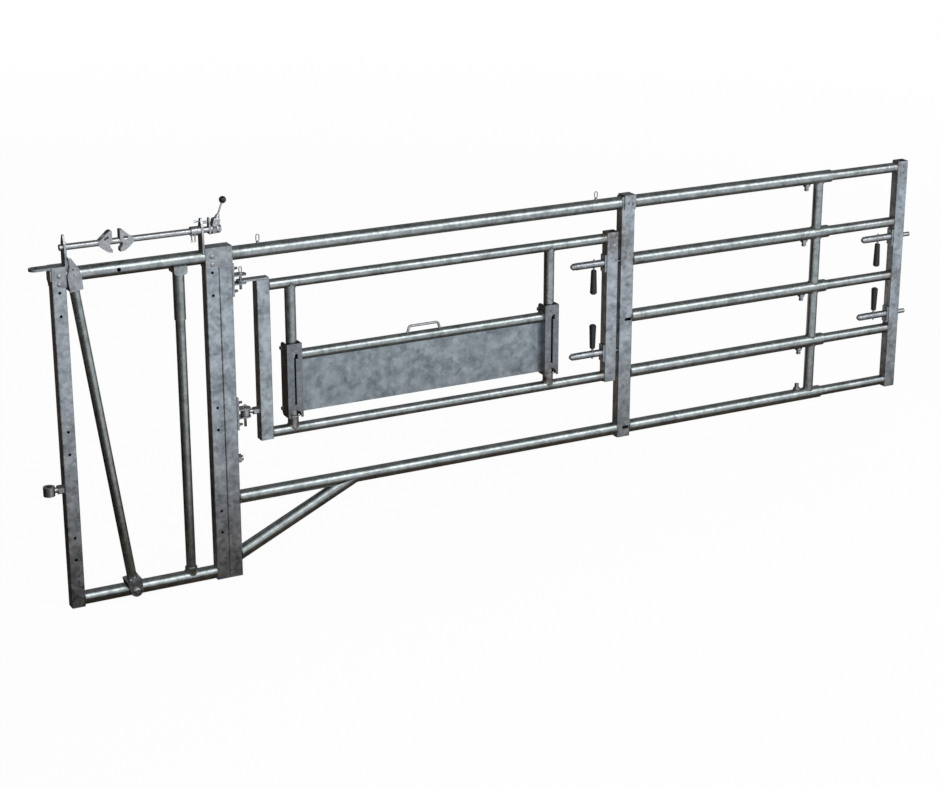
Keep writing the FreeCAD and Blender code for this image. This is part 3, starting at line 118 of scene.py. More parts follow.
class Finish(Enum):
    """Materials that the pieces wear."""

    BOX = "dipped_box_section"
    TUBE = "dipped_tube"
    PLATE = "dipped_plate"
    CHANNEL = "dipped_channel"
    SHEET = "dipped_sheet"
    ZINC = "zinc_plated"
    WELD = "weld_metal"
    PLASTIC = "moulded_polypropylene"


class Edge(Enum):
    """How the shading of a piece treats its edges."""

    ROUND = math.radians(50)
    CRISP = math.radians(25)


def linear(code: str) -> tuple[float, float, float, float]:
    """Turn an sRGB hex colour into linear values.

    Args:
        code: colour such as "#8f9498".

    Returns:
        Red, green, blue and an alpha of one.
    """
    values = [int(code[i : i + 2], 16) / 255 for i in (1, 3, 5)]
    lin = [v / 12.92 if v <= 0.04045 else ((v + 0.055) / 1.055) ** 2.4 for v in values]
    return (lin[0], lin[1], lin[2], 1.0)


def feed(tree: Tree, node: bpy.types.Node, inputs: Inputs) -> None:
    """Give the inputs of a node their values and links.

    Args:
        tree: node tree that the node is in.
        node: node that is fed.
        inputs: number, vector, hex colour or socket for each input.
    """
    for key, value in inputs.items():
        if isinstance(value, Socket):
            tree.links.new(value, node.inputs[key])
        else:
            node.inputs[key].default_value = linear(value) if isinstance(value, str) else value


def add_node(
    tree: Tree, kind: str, inputs: Inputs, out: str | int = 0, **settings: Any
) -> Socket:
    """Add one shader node with its settings and links.

    Args:
        tree: node tree of a material or world.
        kind: node type, without the word ShaderNode.
        inputs: number, vector, hex colour or socket for each input.
        out: output that is handed back.
        settings: attributes of the node.

    Returns:
        One output of the new node.
    """
    node = tree.nodes.new("ShaderNode" + kind)
    for key, value in settings.items():
        setattr(node, key, value)
    feed(tree, node, inputs)
    return node.outputs[out]


def arc(
    centre: Vector, across: Vector, other: Vector, radius: float, steps: int,
    start: float = 0.0, turn: float = 360.0,
) -> list[Vector]:
    """Points along an arc. A full turn leaves out its last point, which is its first.

    Args:
        centre: centre of the arc.
        across: direction at zero degrees.
        other: direction at 90 degrees.
        radius: radius of the arc.
        steps: number of steps along it.
        start: angle of the first point, in degrees.
        turn: angle that it covers, in degrees.

    Returns:
        The points in order.
    """
    count = steps if abs(turn) == 360.0 else steps + 1
    angles = [math.radians(start + turn * i / steps) for i in range(count)]
    return [centre + radius * (math.cos(a) * across + math.sin(a) * other) for a in angles]


class Draft:
    """Points and faces of one piece while it is drawn."""

    def __init__(self) -> None:
        """Start with nothing drawn."""
        self.points: list[Vector] = []
        self.faces: list[tuple[int, ...]] = []

    def loft(self, rings: Sequence[Sequence[Vector]], closed: bool = False) -> None:
        """Skin a run of rings that have the same number of points, and cap its open ends.

        Args:
            rings: points of each ring, in order.
            closed: whether the last ring joins the first.
        """
        base = len(self.points)
        count = len(rings[0])
        for ring in rings:
            self.points.extend(ring)
        for i in range(len(rings) if closed else len(rings) - 1):
            here = base + i * count
            there = base + ((i + 1) % len(rings)) * count
            for j in range(count):
                k = (j + 1) % count
                self.faces.append((here + j, here + k, there + k, there + j))
        if not closed:
            last = base + (len(rings) - 1) * count
            self.faces.append(tuple(base + j for j in reversed(range(count))))
            self.faces.append(tuple(last + j for j in range(count)))

    def sweep(
        self, path: Sequence[Vector], radius: Callable[[float], float], normal: Vector,
        sides: int = 8, closed: bool = False,
    ) -> None:
        """Draw a round wire or bead along a path.

        Args:
            path: points of the path.
            radius: thickness radius for a share of the way along, from 0 to 1.
            normal: direction that stays beside the path.
            sides: points round the wire.
            closed: whether the path is a loop.
        """
        rings = []
        count = len(path)
        for i, point in enumerate(path):
            before = path[i - 1] if i > 0 or closed else point
            after = path[(i + 1) % count] if i < count - 1 or closed else point
            along = (after - before).normalized()
            side = normal.cross(along).normalized()
            rings.append(arc(point, side, along.cross(side), radius(i / count), sides))
        self.loft(rings, closed)

    def turn(self, outline: Sequence[Sizes], start: Vector, axis: Vector, sides: int = 32) -> None:
        """Draw a turned piece.

        Args:
            outline: radius and height pairs from the foot to the top.
            start: point at height zero.
            axis: direction of the height.
            sides: points round the piece.
        """
        unit = axis.normalized()
        across = unit.orthogonal().normalized()
        other = unit.cross(across)
        self.loft([arc(start + unit * height, across, other, radius, sides) for radius, height in outline])

    def hex_head(self, start: Vector, axis: Vector, flats: float, height: float) -> None:
        """Draw a hexagonal head or nut with a chamfered top, on a seat that faces along the axis."""
        corner = flats / math.sqrt(3)
        outline = [(corner, 0), (corner, CHAMFER_FOOT * height), (CHAMFER_TOP * corner, height)]
        self.turn(outline, start, axis, sides=6)

    def button_head(self, start: Vector, axis: Vector, diameter: float, height: float) -> None:
        """Draw a low round head, on a seat that faces along the axis."""
        rises = [math.radians(step) for step in DOME_STEPS]
        outline = [(1, 0), (1, RIM), *((math.cos(a), RIM + (1 - RIM) * math.sin(a)) for a in rises)]
        self.turn([(r * diameter / 2, z * height) for r, z in outline], start, axis, sides=28)

    def thread(self, start: Vector, axis: Vector, diameter: float, pitch: float, length: float) -> None:
        """Draw a stretch of screw thread as close grooves.

        Args:
            start: centre of the first groove.
            axis: direction of the screw.
            diameter: outer width.
            pitch: distance from groove to groove.
            length: length of the stretch.
        """
        crest = diameter / 2
        root = crest - THREAD_DEPTH * pitch
        outline = [(root, 0.0)]
        for i in range(int(length / pitch)):
            outline += [(crest, (i + 0.5) * pitch), (root, (i + 1) * pitch)]
        self.turn(outline, start, axis, sides=20)

    def dress(
        self, name: str, body: Body, finish: Finish, edge: Edge = Edge.ROUND
    ) -> bpy.types.Object:
        """Turn the draft into a piece of the gate.

        Args:
            name: name of the piece.
            body: body that it moves with.
            finish: its material.
            edge: how its edges are shaded.

        Returns:
            The new object.
        """
        mesh = bpy.data.meshes.new(name)
        mesh.from_pydata([tuple(p) for p in self.points], [], self.faces)
        mesh.validate()
        mesh.update()
        mesh.polygons.foreach_set("use_smooth", [True] * len(mesh.polygons))
        mesh.set_sharp_from_angle(angle=edge.value)
        mesh.materials.append(bpy.data.materials[finish.value])
        piece = bpy.data.objects.new(name, mesh)
        bpy.context.scene.collection.objects.link(piece)
        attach(piece, body.value)
        LOG.info("%s: %d faces on %s", name, len(mesh.polygons), body.value)
        return piece


@dataclass(frozen=True)
class WeldBead:
    """Hand-laid bead with ripples along it."""

    radius: float = 3.6 * MM
    ripple: float = 5.5 * MM
    unevenness: float = 0.22
    ripple_share: float = 0.35
    fewest_ripples: int = 8
    swells: int = 12
    sunk: float = 0.3
    steps: int = 96

    def lay(self, draft: Draft, path: Sequence[Vector], normal: Vector, seed: int) -> None:
        """Lay the bead along a closed path.

        Args:
            draft: where it is drawn.
            path: points of the loop.
            normal: direction beside the loop.
            seed: seed of its unevenness.
        """
        rng = random.Random(seed)
        length = sum((path[i] - path[i - 1]).length for i in range(len(path)))
        ripples = max(self.fewest_ripples, round(length / self.ripple))
        swell = [rng.uniform(-1, 1) for _ in range(self.swells)]

        def width(share: float) -> float:
            """Radius of the bead at a share of its length."""
            wave = math.sin(2 * math.pi * ripples * share)
            place = share * len(swell)
            low = int(place) % len(swell)
            blend = place - int(place)
            slow = swell[low] * (1 - blend) + swell[(low + 1) % len(swell)] * blend
            return self.radius * (1 + self.unevenness * (self.ripple_share * wave + slow))

        draft.sweep(path, width, normal, sides=7, closed=True)

    def round_tube(self, draft: Draft, centre: Vector, axis: Vector, radius: float, seed: int) -> None:
        """Lay a bead round a tube where it meets a flat face.

        Args:
            draft: where it is drawn.
            centre: centre of the joint.
            axis: direction of the tube.
            radius: outer radius of the tube.
            seed: seed of its unevenness.
        """
        unit = axis.normalized()
        across = unit.orthogonal().normalized()
        path = arc(centre, across, unit.cross(across), radius - self.sunk * self.radius, self.steps)
        self.lay(draft, path, unit, seed)

    def saddle(self, draft: Draft, centre: Vector, branch: float, run: float, side: int, seed: int) -> None:
        """Lay a bead where an upright tube meets a level tube along X.

        Args:
            draft: where it is drawn.
            centre: point where the two axes cross.
            branch: outer radius of the upright tube.
            run: outer radius of the level tube.
            side: +1 above the level tube and -1 below it.
            seed: seed of its unevenness.
        """
        path = []
        for point in arc(centre, X_AXIS, Y_AXIS, branch, self.steps):
            out = point.y - centre.y
            path.append(point + side * math.sqrt(max(run * run - out * out, 0)) * Z_AXIS)
        self.lay(draft, path, Z_AXIS, seed)


@dataclass(frozen=True)
class HeatTint:
    """Brown scorch round a weld, as a ball about a point in the middle plane of the gate."""

    x: float
    z: float
    reach: float
    strength: float


class Coat:
    """Shader nodes of one finish, laid out in the coordinates of the gate."""

    def __init__(self, name: str) -> None:
        """Make the material and its surface.

        Args:
            name: name of the material.
        """
        material = bpy.data.materials.new(name)
        material.use_nodes = True
        self.tree = material.node_tree
        self.tree.nodes.clear()
        self.surface = self.tree.nodes.new("ShaderNodeBsdfPrincipled")
        output = self.tree.nodes.new("ShaderNodeOutputMaterial")
        feed(self.tree, output, {"Surface": self.surface.outputs["BSDF"]})
        self.place = add_node(self.tree, "TexCoord", {}, "Object")

    def add(self, kind: str, inputs: Inputs, out: str | int = 0, **settings: Any) -> Socket:
        """Add a node to this finish, as add_node does."""
        return add_node(self.tree, kind, inputs, out, **settings)

    def wear(self, inputs: Inputs) -> None:
        """Set the inputs of the surface."""
        feed(self.tree, self.surface, inputs)

    def clouds(
        self, size_mm: float, detail: float, low: float, high: float, top: float = 1.0, fine: float = 0.55
    ) -> Socket:
        """Patches of a noise, from none below one level to full above another.

        Args:
            size_mm: size of the patches.
            detail: number of finer layers.
            low: level where the patches start.
            high: level where they are full.
            top: value of a full patch.
            fine: strength of the finer layers.

        Returns:
            A value from 0 to the top.
        """
        spots = {"Vector": self.place, "Scale": 1 / (size_mm * MM), "Detail": detail, "Roughness": fine}
        noise = self.add("TexNoise", spots, "Fac")
        return self.add("MapRange", {"Value": noise, "From Min": low, "From Max": high, "To Max": top})

    def ripple(self, size_mm: float, height_mm: float, strength: float) -> None:
        """Make the surface softly uneven.

        Args:
            size_mm: size of the waves.
            height_mm: height of the waves.
            strength: how much of them shows.
        """
        spots = {"Vector": self.place, "Scale": 1 / (size_mm * MM), "Detail": 2, "Roughness": 0.55}
        waves = self.add("TexNoise", spots, "Fac")
        bump = {"Height": waves, "Strength": strength, "Distance": height_mm * MM}
        self.wear({"Normal": self.add("Bump", bump, "Normal")})

    def scorched(self, colour: Socket, tints: Sequence[HeatTint], tone: str) -> Socket:
        """Lay heat tints over a colour.

        Args:
            colour: colour of the clean metal.
            tints: scorched places.
            tone: hex colour of the scorch.

        Returns:
            The tinted colour.
        """
        core = 0.25
        cloud = self.clouds(22, 4, low=0.35, high=0.6)
        for tint in tints:
            ends = {0: self.place, 1: (tint.x, 0, tint.z)}
            gap = self.add("VectorMath", ends, "Value", operation="DISTANCE")
            fall = {"Value": gap, "From Min": core * tint.reach, "From Max": tint.reach}
            near = self.add("MapRange", fall | {"To Min": tint.strength, "To Max": 0.0})
            share = self.add("Math", {0: near, 1: cloud}, operation="MULTIPLY", use_clamp=True)
            colour = self.add("Mix", {0: share, 6: colour, 7: tone}, 2, data_type="RGBA")
        return colour


@dataclass(frozen=True)
class Galvanised:
    """Hot-dip galvanised steel: a zinc skin whose crystals show as soft spangle under thin grime."""

    finish: Finish
    dark: str
    light: str
    spangle_mm: float
    blotch_mm: float
    roughness: float
    spread: float
    tints: tuple[HeatTint, ...] = ()
    spangle_share: float = 0.4
    grime: str = "#5a5650"
    scorch: str = "#5b4433"

    def make(self) -> None:
        """Build the material: mottled grey crystals, each with a gloss of its own."""
        coat = Coat(self.finish.value)
        cells = {"Vector": coat.place, "Scale": 1 / (self.spangle_mm * MM), "Randomness": 1.0}
        tone = coat.add("SeparateColor", {0: coat.add("TexVoronoi", cells, "Color")})
        cloud = coat.clouds(self.blotch_mm, 5, low=0.36, high=0.64, fine=0.6)
        spangle = coat.add("Math", {0: tone, 1: self.spangle_share}, operation="MULTIPLY", use_clamp=True)
        rest = {0: cloud, 1: 1 - self.spangle_share}
        blotch = coat.add("Math", rest, operation="MULTIPLY", use_clamp=True)
        share = coat.add("Math", {0: spangle, 1: blotch}, operation="ADD", use_clamp=True)
        colour = coat.add("Mix", {0: share, 6: self.dark, 7: self.light}, 2, data_type="RGBA")
        patches = coat.clouds(45, 6, low=0.56, high=0.72, top=0.35, fine=0.65)
        colour = coat.add("Mix", {0: patches, 6: colour, 7: self.grime}, 2, data_type="RGBA")
        low = self.roughness - self.spread
        high = self.roughness + self.spread
        gloss = coat.add("MapRange", {"Value": tone.node.outputs[1], "To Min": low, "To Max": high})
        metal = coat.scorched(colour, self.tints, self.scorch)
        coat.wear({"Base Color": metal, "Metallic": 1.0, "Roughness": gloss})
        coat.ripple(size_mm=22, height_mm=0.3, strength=0.12)


@dataclass(frozen=True)
class ZincPlated:
    """Bright electro-plated zinc on turned and forged steel: cleaner and shinier than the dip."""

    finish: Finish = Finish.ZINC
    dark: str = "#93969a"
    light: str = "#b0b3b6"
    stain: str = "#6e5a49"
    roughness: float = 0.3
    dulled: float = 0.35

    def make(self) -> None:
        """Build the material: light even metal with faint blotches."""
        coat = Coat(self.finish.value)
        cloud = coat.clouds(9, 4, low=0.35, high=0.65)
        colour = coat.add("Mix", {0: cloud, 6: self.dark, 7: self.light}, 2, data_type="RGBA")
        patches = coat.clouds(30, 4, low=0.6, high=0.72, top=0.45, fine=0.6)
        colour = coat.add("Mix", {0: patches, 6: colour, 7: self.stain}, 2, data_type="RGBA")
        gloss = coat.add("MapRange", {"Value": cloud, "To Min": self.dulled, "To Max": self.roughness})
        coat.wear({"Base Color": colour, "Metallic": 1.0, "Roughness": gloss})


@dataclass(frozen=True)
class WeldMetal:
    """Arc weld dipped with the frame: rough, dull and browned by the heat."""

    finish: Finish = Finish.WELD
    dark: str = "#4d4742"
    light: str = "#8b8c8c"
    rust: str = "#6b4a30"

    def make(self) -> None:
        """Build the material: uneven grey and brown, matt between its ripples."""
        coat = Coat(self.finish.value)
        patches = coat.clouds(12, 5, low=0.35, high=0.65, fine=0.6)
        colour = coat.add("Mix", {0: patches, 6: self.dark, 7: self.light}, 2, data_type="RGBA")
        patches = coat.clouds(30, 4, low=0.55, high=0.7, top=0.7)
        colour = coat.add("Mix", {0: patches, 6: colour, 7: self.rust}, 2, data_type="RGBA")
        coat.wear({"Base Color": colour, "Metallic": 0.8, "Roughness": 0.5})


@dataclass(frozen=True)
class MouldedPlastic:
    """Moulded polypropylene of the grips and the knob: deep black with a soft gloss and fine grain."""

    finish: Finish = Finish.PLASTIC
    colour: str = "#17181a"
    roughness: float = 0.34
    ior: float = 1.49

    def make(self) -> None:
        """Build the material: one even colour with a grain of about a millimetre."""
        coat = Coat(self.finish.value)
        coat.wear({"Base Color": self.colour, "Roughness": self.roughness, "IOR": self.ior})
        coat.ripple(size_mm=1.2, height_mm=0.1, strength=0.08)


@dataclass(frozen=True)
class GateLines:
    """Main lines of the gate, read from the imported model."""

    main_r: float = 30.15 * MM
    inner_r: float = 24.15 * MM
    bar_r: float = 21.2 * MM

    @property
    def top_z(self) -> float:
        """Height of the top rail's axis."""
        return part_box("gate_rails")[1].z - self.main_r

    @property
    def low_z(self) -> float:
        """Height of the bottom rail's axis."""
        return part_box("gate_rails")[0].z + self.main_r

    @property
    def rails(self) -> list[float]:
        """Heights of the five rails, from the top."""
        return [self.top_z - (self.top_z - self.low_z) * i / 4 for i in range(5)]

    @property
    def post_front(self) -> float:
        """Front face of the posts."""
        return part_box("hinge_post")[0].y

    @property
    def rod_z(self) -> float:
        """Height of the latch rod's axis."""
        low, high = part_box("latch_rod")
        return (low.z + high.z) / 2

    @property
    def uprights(self) -> tuple[float, float]:
        """Places of the door's two uprights along the gate."""
        low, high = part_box("door_uprights")
        return (low.x + self.inner_r, high.x - self.inner_r)

    @property
    def cross_tubes(self) -> tuple[float, float]:
        """Heights of the door's two cross tubes."""
        low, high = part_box("door_cross_tubes")
        return (low.z + self.inner_r, high.z - self.inner_r)


@dataclass
class PostFittings:
    """Bolts of the brackets that sit on the posts, and the thread of the lower hinge."""

    lines: GateLines
    leaf: float = 6.0 * MM
    head: float = 21.0 * MM
    head_height: float = 5.0 * MM
    flush_height: float = 0.5 * MM
    nut: float = 19.0 * MM
    nut_height: float = 10.0 * MM
    drops: Sizes = mm(27.0, 62.0)
    shank: float = 24.6 * MM
    shank_pitch: float = 3.0 * MM
    shank_start: float = 50.0 * MM
    shank_length: float = 12.0 * MM

    def bolts(self) -> None:
        """Round heads in front, flush ones on the hanging post, and nuts behind."""
        draft = Draft()
        front = self.lines.post_front - self.leaf
        for node in ("hinge_post", "yoke_inner_post", "gate_hanging_post"):
            low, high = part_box(node)
            x = (low.x + high.x) / 2
            height = self.flush_height if node == "gate_hanging_post" else self.head_height
            for drop in self.drops:
                z = high.z - drop
                draft.button_head(Vector((x, front, z)), -Y_AXIS, self.head, height)
                draft.hex_head(Vector((x, -front, z)), Y_AXIS, self.nut, self.nut_height)
        draft.dress("bracket_bolts", Body.FRAME, Finish.PLATE)

    def hinge_thread(self) -> None:
        """Thread of the lower hinge's shank between the eye and its nut."""
        low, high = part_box("lower_hinge_eye")
        start = Vector((low.x + self.shank_start, 0, (low.z + high.z) / 2))
        draft = Draft()
        draft.thread(start, X_AXIS, self.shank, self.shank_pitch, self.shank_length)
        draft.dress("hinge_shank_thread", Body.FRAME, Finish.ZINC, Edge.CRISP)


@dataclass
class YokeFittings:
    """Welds and small fittings of the head yoke."""

    lines: GateLines
    bead: WeldBead
    fine_bead: WeldBead = WeldBead(radius=1.9 * MM)
    foot_r: float = 27.0 * MM
    arm: float = 9.0 * MM
    arm_bead: float = 3.2 * MM
    arm_ripple: float = 0.15
    arm_waves: float = 60.0
    cheek: float = 40.15 * MM
    pivot_inset: float = 28.0 * MM
    washer: Sizes = mm(15.0, 2.0)
    pivot_head: Sizes = mm(26.0, 7.9)
    stop_screw: Sizes = mm(13.0, 5.0)
    stop_place: Sizes = mm(12.0, 52.0)
    rivet: Sizes = mm(9.0, 3.0)
    rivet_place: Sizes = mm(30.0, 70.0)
    rivet_sunk: float = 0.5 * MM
    bar_end: float = 4.0 * MM
    bar_gap: float = 1.0 * MM

    def welds(self) -> None:
        """Beads at the ends of both yoke tubes and round the fixed bar."""
        low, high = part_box("yoke_tubes")
        r = self.lines.main_r
        draft = Draft()
        seed = 10
        for z in (low.z + r, high.z - r):
            for x in (low.x, high.x):
                self.fine_bead.round_tube(draft, Vector((x, 0, z)), X_AXIS, r, seed)
                seed += 1
        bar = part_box("fixed_bar")
        foot = Vector(((bar[0].x + bar[1].x) / 2, 0, low.z + r))
        self.bead.saddle(draft, foot, self.foot_r, r, 1, seed)
        draft.dress("yoke_welds", Body.FRAME, Finish.WELD)

    def arm_width(self, share: float) -> float:
        """Radius of an arm's bead at a share of its length."""
        return self.arm_bead * (1 + self.arm_ripple * math.sin(self.arm_waves * share))

    def arm_welds(self) -> None:
        """Beads along both arms where they stand on the top tube."""
        draft = Draft()
        r = self.lines.main_r
        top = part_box("yoke_tubes")[1].z - r
        for x in (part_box("latch_arms")[0].x + self.arm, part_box("yoke_inner_post")[0].x - self.arm):
            path = arc(Vector((x, 0, top)), Y_AXIS, Z_AXIS, r, steps=30, start=150, turn=-120)
            draft.sweep(path, self.arm_width, X_AXIS, sides=7)
        draft.dress("latch_arm_welds", Body.FRAME, Finish.WELD)

    def pivot(self) -> None:
        """Head, washer and nut of the swinging bar's pivot, and the small screw beside it."""
        low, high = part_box("bar_clevis")
        draft = Draft()
        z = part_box("yoke_tubes")[0].z + self.lines.main_r
        washer_r, washer = self.washer
        for side in (-1, 1):
            seat = Vector((high.x - self.pivot_inset, side * self.cheek, z))
            draft.turn([(washer_r, 0), (washer_r, washer)], seat, side * Y_AXIS)
            draft.hex_head(seat + side * washer * Y_AXIS, side * Y_AXIS, *self.pivot_head)
        screw = Vector((low.x + self.stop_place[0], -self.cheek, z + self.stop_place[1]))
        draft.button_head(screw, -Y_AXIS, *self.stop_screw)
        draft.dress("pivot_bolt_ends", Body.YOKE_BAR, Finish.ZINC)

    def catch_rivet(self) -> None:
        """Small rivet on the catch plate."""
        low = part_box("catch_bracket")[0]
        seat = low + Vector((self.rivet_place[0], self.rivet_sunk, self.rivet_place[1]))
        draft = Draft()
        draft.button_head(seat, -Y_AXIS, *self.rivet)
        draft.dress("catch_rivet", Body.YOKE_BAR, Finish.PLATE)

    def bar_welds(self) -> None:
        """Beads at both ends of the swinging bar."""
        low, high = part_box("swing_bar")
        r = self.lines.bar_r
        foot = Vector((high.x - r, 0, low.z + self.bar_end))
        head = Vector((low.x + r, 0, high.z - self.bar_end))
        draft = Draft()
        for place, seed in ((foot, 31), (head, 32)):
            self.bead.round_tube(draft, place, head - foot, r + self.bar_gap, seed)
        draft.dress("swing_bar_welds", Body.YOKE_BAR, Finish.WELD)


@dataclass
class LatchFittings:
    """Knob, lever block and split pins of the latch."""

    lines: GateLines
    lean: float = math.radians(21)
    knob_foot: float = -74.0
    stem_share: float = 0.27
    knob_tip: float = 0.05 * MM
    block_half: Sizes = mm(15.0, 16.0)
    block_foot: Sizes = mm(29.0, 15.0)
    block_rings: tuple[Sizes, ...] = ((0.0, 1.0), (26.0 * MM, 1.0), (31.0 * MM, 0.8))
    block_slope: float = 0.25
    hub: Sizes = mm(42.0, 20.0)
    hub_inset: float = 14.0 * MM
    pin_wire: float = 1.6 * MM
    pin_eye: float = 4.5 * MM
    pin_legs: float = 26.0 * MM
    pin_insets: Sizes = mm(54.0, 39.0)
    pin_lean: float = 1.0 * MM
    pin_spread: float = 3.0 * MM
    pin_forward: float = 2.0 * MM
    collar_front: float = -20.5 * MM
    collar_drop: float = 12.0 * MM
    rod_pin_inset: float = 29.5 * MM
    rod_pin_top: float = 20.0 * MM
    rod_pin_length: float = 46.0 * MM
    rod_pin_wire: float = 2.2 * MM
    arm_half: float = 4.5 * MM
    arm_pin_drop: float = 12.0 * MM
    arm_pin_wire: float = 1.8 * MM
    arm_pin_legs: tuple[Sizes, ...] = (mm(8.0, 0.0), mm(-12.0, 1.4), mm(-30.0, 4.5))

    def knob(self) -> None:
        """Smooth ball knob in place of the plain one."""
        low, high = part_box("lever_knob")
        r = (high.y - low.y) / 2
        foot = math.radians(self.knob_foot)
        steps = 24
        turns = [foot + (math.pi / 2 - foot) * i / steps for i in range(steps)]
        outline = [(r * self.stem_share, r * math.sin(foot))]
        outline += [(r * math.cos(t), r * math.sin(t)) for t in turns]
        outline.append((self.knob_tip, r))
        draft = Draft()
        axis = Vector((math.sin(self.lean), 0, math.cos(self.lean)))
        draft.turn(outline, (low + high) / 2, axis, sides=40)
        knob = draft.dress("ball_knob", Body.LATCH, Finish.PLASTIC)
        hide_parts("lever_knob")

    def lever_block(self) -> None:
        """Block between the lever's hub and its socket, with the collar round the hub."""
        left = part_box("latch_lever")[0].x
        foot = Vector((left + self.block_foot[0], 0, self.lines.rod_z + self.block_foot[1]))
        along = self.block_half[0] * X_AXIS
        out = self.block_half[1] * Y_AXIS
        corner_ways = ((-1, -1), (1, -1), (1, 1), (-1, 1))
        rings = []
        for rise, share in self.block_rings:
            centre = foot + Vector((self.block_slope * rise, 0, rise))
            rings.append([centre + share * (i * along + j * out) for i, j in corner_ways])
        draft = Draft()
        draft.loft(rings)
        draft.hex_head(Vector((left + self.hub_inset, 0, self.lines.rod_z)), X_AXIS, *self.hub)
        draft.dress("lever_block", Body.LATCH, Finish.ZINC, Edge.CRISP)

    def split_pin(self, draft: Draft, top: Vector, lean: float) -> None:
        """Draw a split pin with its eye on top and its legs hanging.

        Args:
            draft: where it is drawn.
            top: centre of its eye.
            lean: sideways lean of the legs.
        """
        bend_share = 0.6
        early_lean = 0.3
        eye = arc(top, X_AXIS, Z_AXIS, self.pin_eye, steps=20, start=-60, turn=300)
        draft.sweep(eye, lambda s: self.pin_wire, Y_AXIS)
        for side in (-1, 1):
            start = top + Vector((side * self.pin_wire, 0, -self.pin_eye))
            bend = start + Vector((lean * early_lean, 0, -bend_share * self.pin_legs))
            drop = (bend_share - 1) * self.pin_legs
            end = bend + Vector((lean + side * self.pin_spread, -self.pin_forward, drop))
            draft.sweep([start, bend, end], lambda s: self.pin_wire, Y_AXIS)

    def pins(self) -> None:
        """Split pins that hang from the collar, and one through the rod at the left arm."""
        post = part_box("yoke_inner_post")[0].x
        z = self.lines.rod_z
        draft = Draft()
        for inset, way in zip(self.pin_insets, (1, -1)):
            top = Vector((post - inset, self.collar_front, z - self.collar_drop))
            self.split_pin(draft, top, way * self.pin_lean)
        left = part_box("latch_rod")[0].x + self.rod_pin_inset
        top = Vector((left, 0, z + self.rod_pin_top))
        draft.sweep([top, top - Z_AXIS * self.rod_pin_length], lambda s: self.rod_pin_wire, Y_AXIS)
        draft.dress("latch_split_pins", Body.LATCH, Finish.ZINC)

    def arm_pin(self) -> None:
        """Split pin across the top of the right arm, with its legs out to the left."""
        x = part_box("yoke_inner_post")[0].x - self.arm_half
        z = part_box("latch_arms")[1].z - self.arm_pin_drop
        draft = Draft()
        for side in (-1, 1):
            path = [Vector((x + along, 0, z + side * gap)) for along, gap in self.arm_pin_legs]
            draft.sweep(path, lambda s: self.arm_pin_wire, Y_AXIS)
        draft.dress("arm_split_pin", Body.FRAME, Finish.ZINC)


@dataclass
class PullRings:
    """Pins with wire rings, in place of the plain loops."""

    wire: float = 2.4 * MM
    rail_loop: Sizes = mm(19.0, 34.0)
    rail_loop_rise: float = 6.0 * MM
    hinge_loop: Sizes = mm(16.0, 30.0)
    hinge_loop_rise: float = 2.0 * MM
    hinge_span: float = 101.0 * MM
    hinge_gap: float = 1.0 * MM
    hinge_loop_room: float = 32.0 * MM
    rail_head: tuple[Sizes, ...] = (mm(7.0, 0.0), mm(7.0, 6.5), mm(5.0, 8.0))
    hinge_shaft: tuple[Sizes, ...] = (mm(5.0, 0.0), mm(6.0, 1.5), mm(6.0, 70.0))
    hinge_head: tuple[Sizes, ...] = (mm(10.0, 0.0), mm(10.0, 3.0), mm(9.0, 4.0))

    def wire_loop(self, draft: Draft, foot: Vector, width: float, height: float) -> None:
        """Draw a long wire loop that stands on a point.

        Args:
            draft: where it is drawn.
            foot: lowest point of the loop's outline.
            width: outer width.
            height: outer height.
        """
        bend = width / 2 - self.wire
        path = arc(foot + Z_AXIS * (height - width / 2), X_AXIS, Z_AXIS, bend, steps=14, start=0, turn=180)
        path += arc(foot + Z_AXIS * (width / 2), X_AXIS, Z_AXIS, bend, steps=14, start=180, turn=180)
        draft.sweep(path, lambda s: self.wire, Y_AXIS, sides=10, closed=True)

    def rail_pins(self) -> None:
        """Two pins through the top rail."""
        low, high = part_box("rail_ring_pins")
        half = self.rail_loop[0] / 2
        draft = Draft()
        for x in (low.x + half, high.x - half):
            foot = Vector((x, 0, low.z))
            draft.turn(self.rail_head, foot, Z_AXIS)
            self.wire_loop(draft, foot + Z_AXIS * self.rail_loop_rise, *self.rail_loop)
        pins = draft.dress("wire_ring_pins", Body.FRAME, Finish.ZINC)
        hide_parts("rail_ring_pins")

    def hinge_pins(self) -> None:
        """Two pins of the door's hinges."""
        low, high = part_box("door_hinge_pins")
        x = (low.x + high.x) / 2
        draft = Draft()
        for top in (high.z, low.z + self.hinge_span + self.hinge_gap):
            ear = Vector((x, 0, top - self.hinge_loop_room))
            draft.turn(self.hinge_shaft, ear - Z_AXIS * self.hinge_shaft[-1][1], Z_AXIS)
            draft.turn(self.hinge_head, ear, Z_AXIS)
            self.wire_loop(draft, ear + Z_AXIS * self.hinge_loop_rise, *self.hinge_loop)
        pins = draft.dress("wire_hinge_pins", Body.FRAME, Finish.ZINC)
        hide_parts("door_hinge_pins")


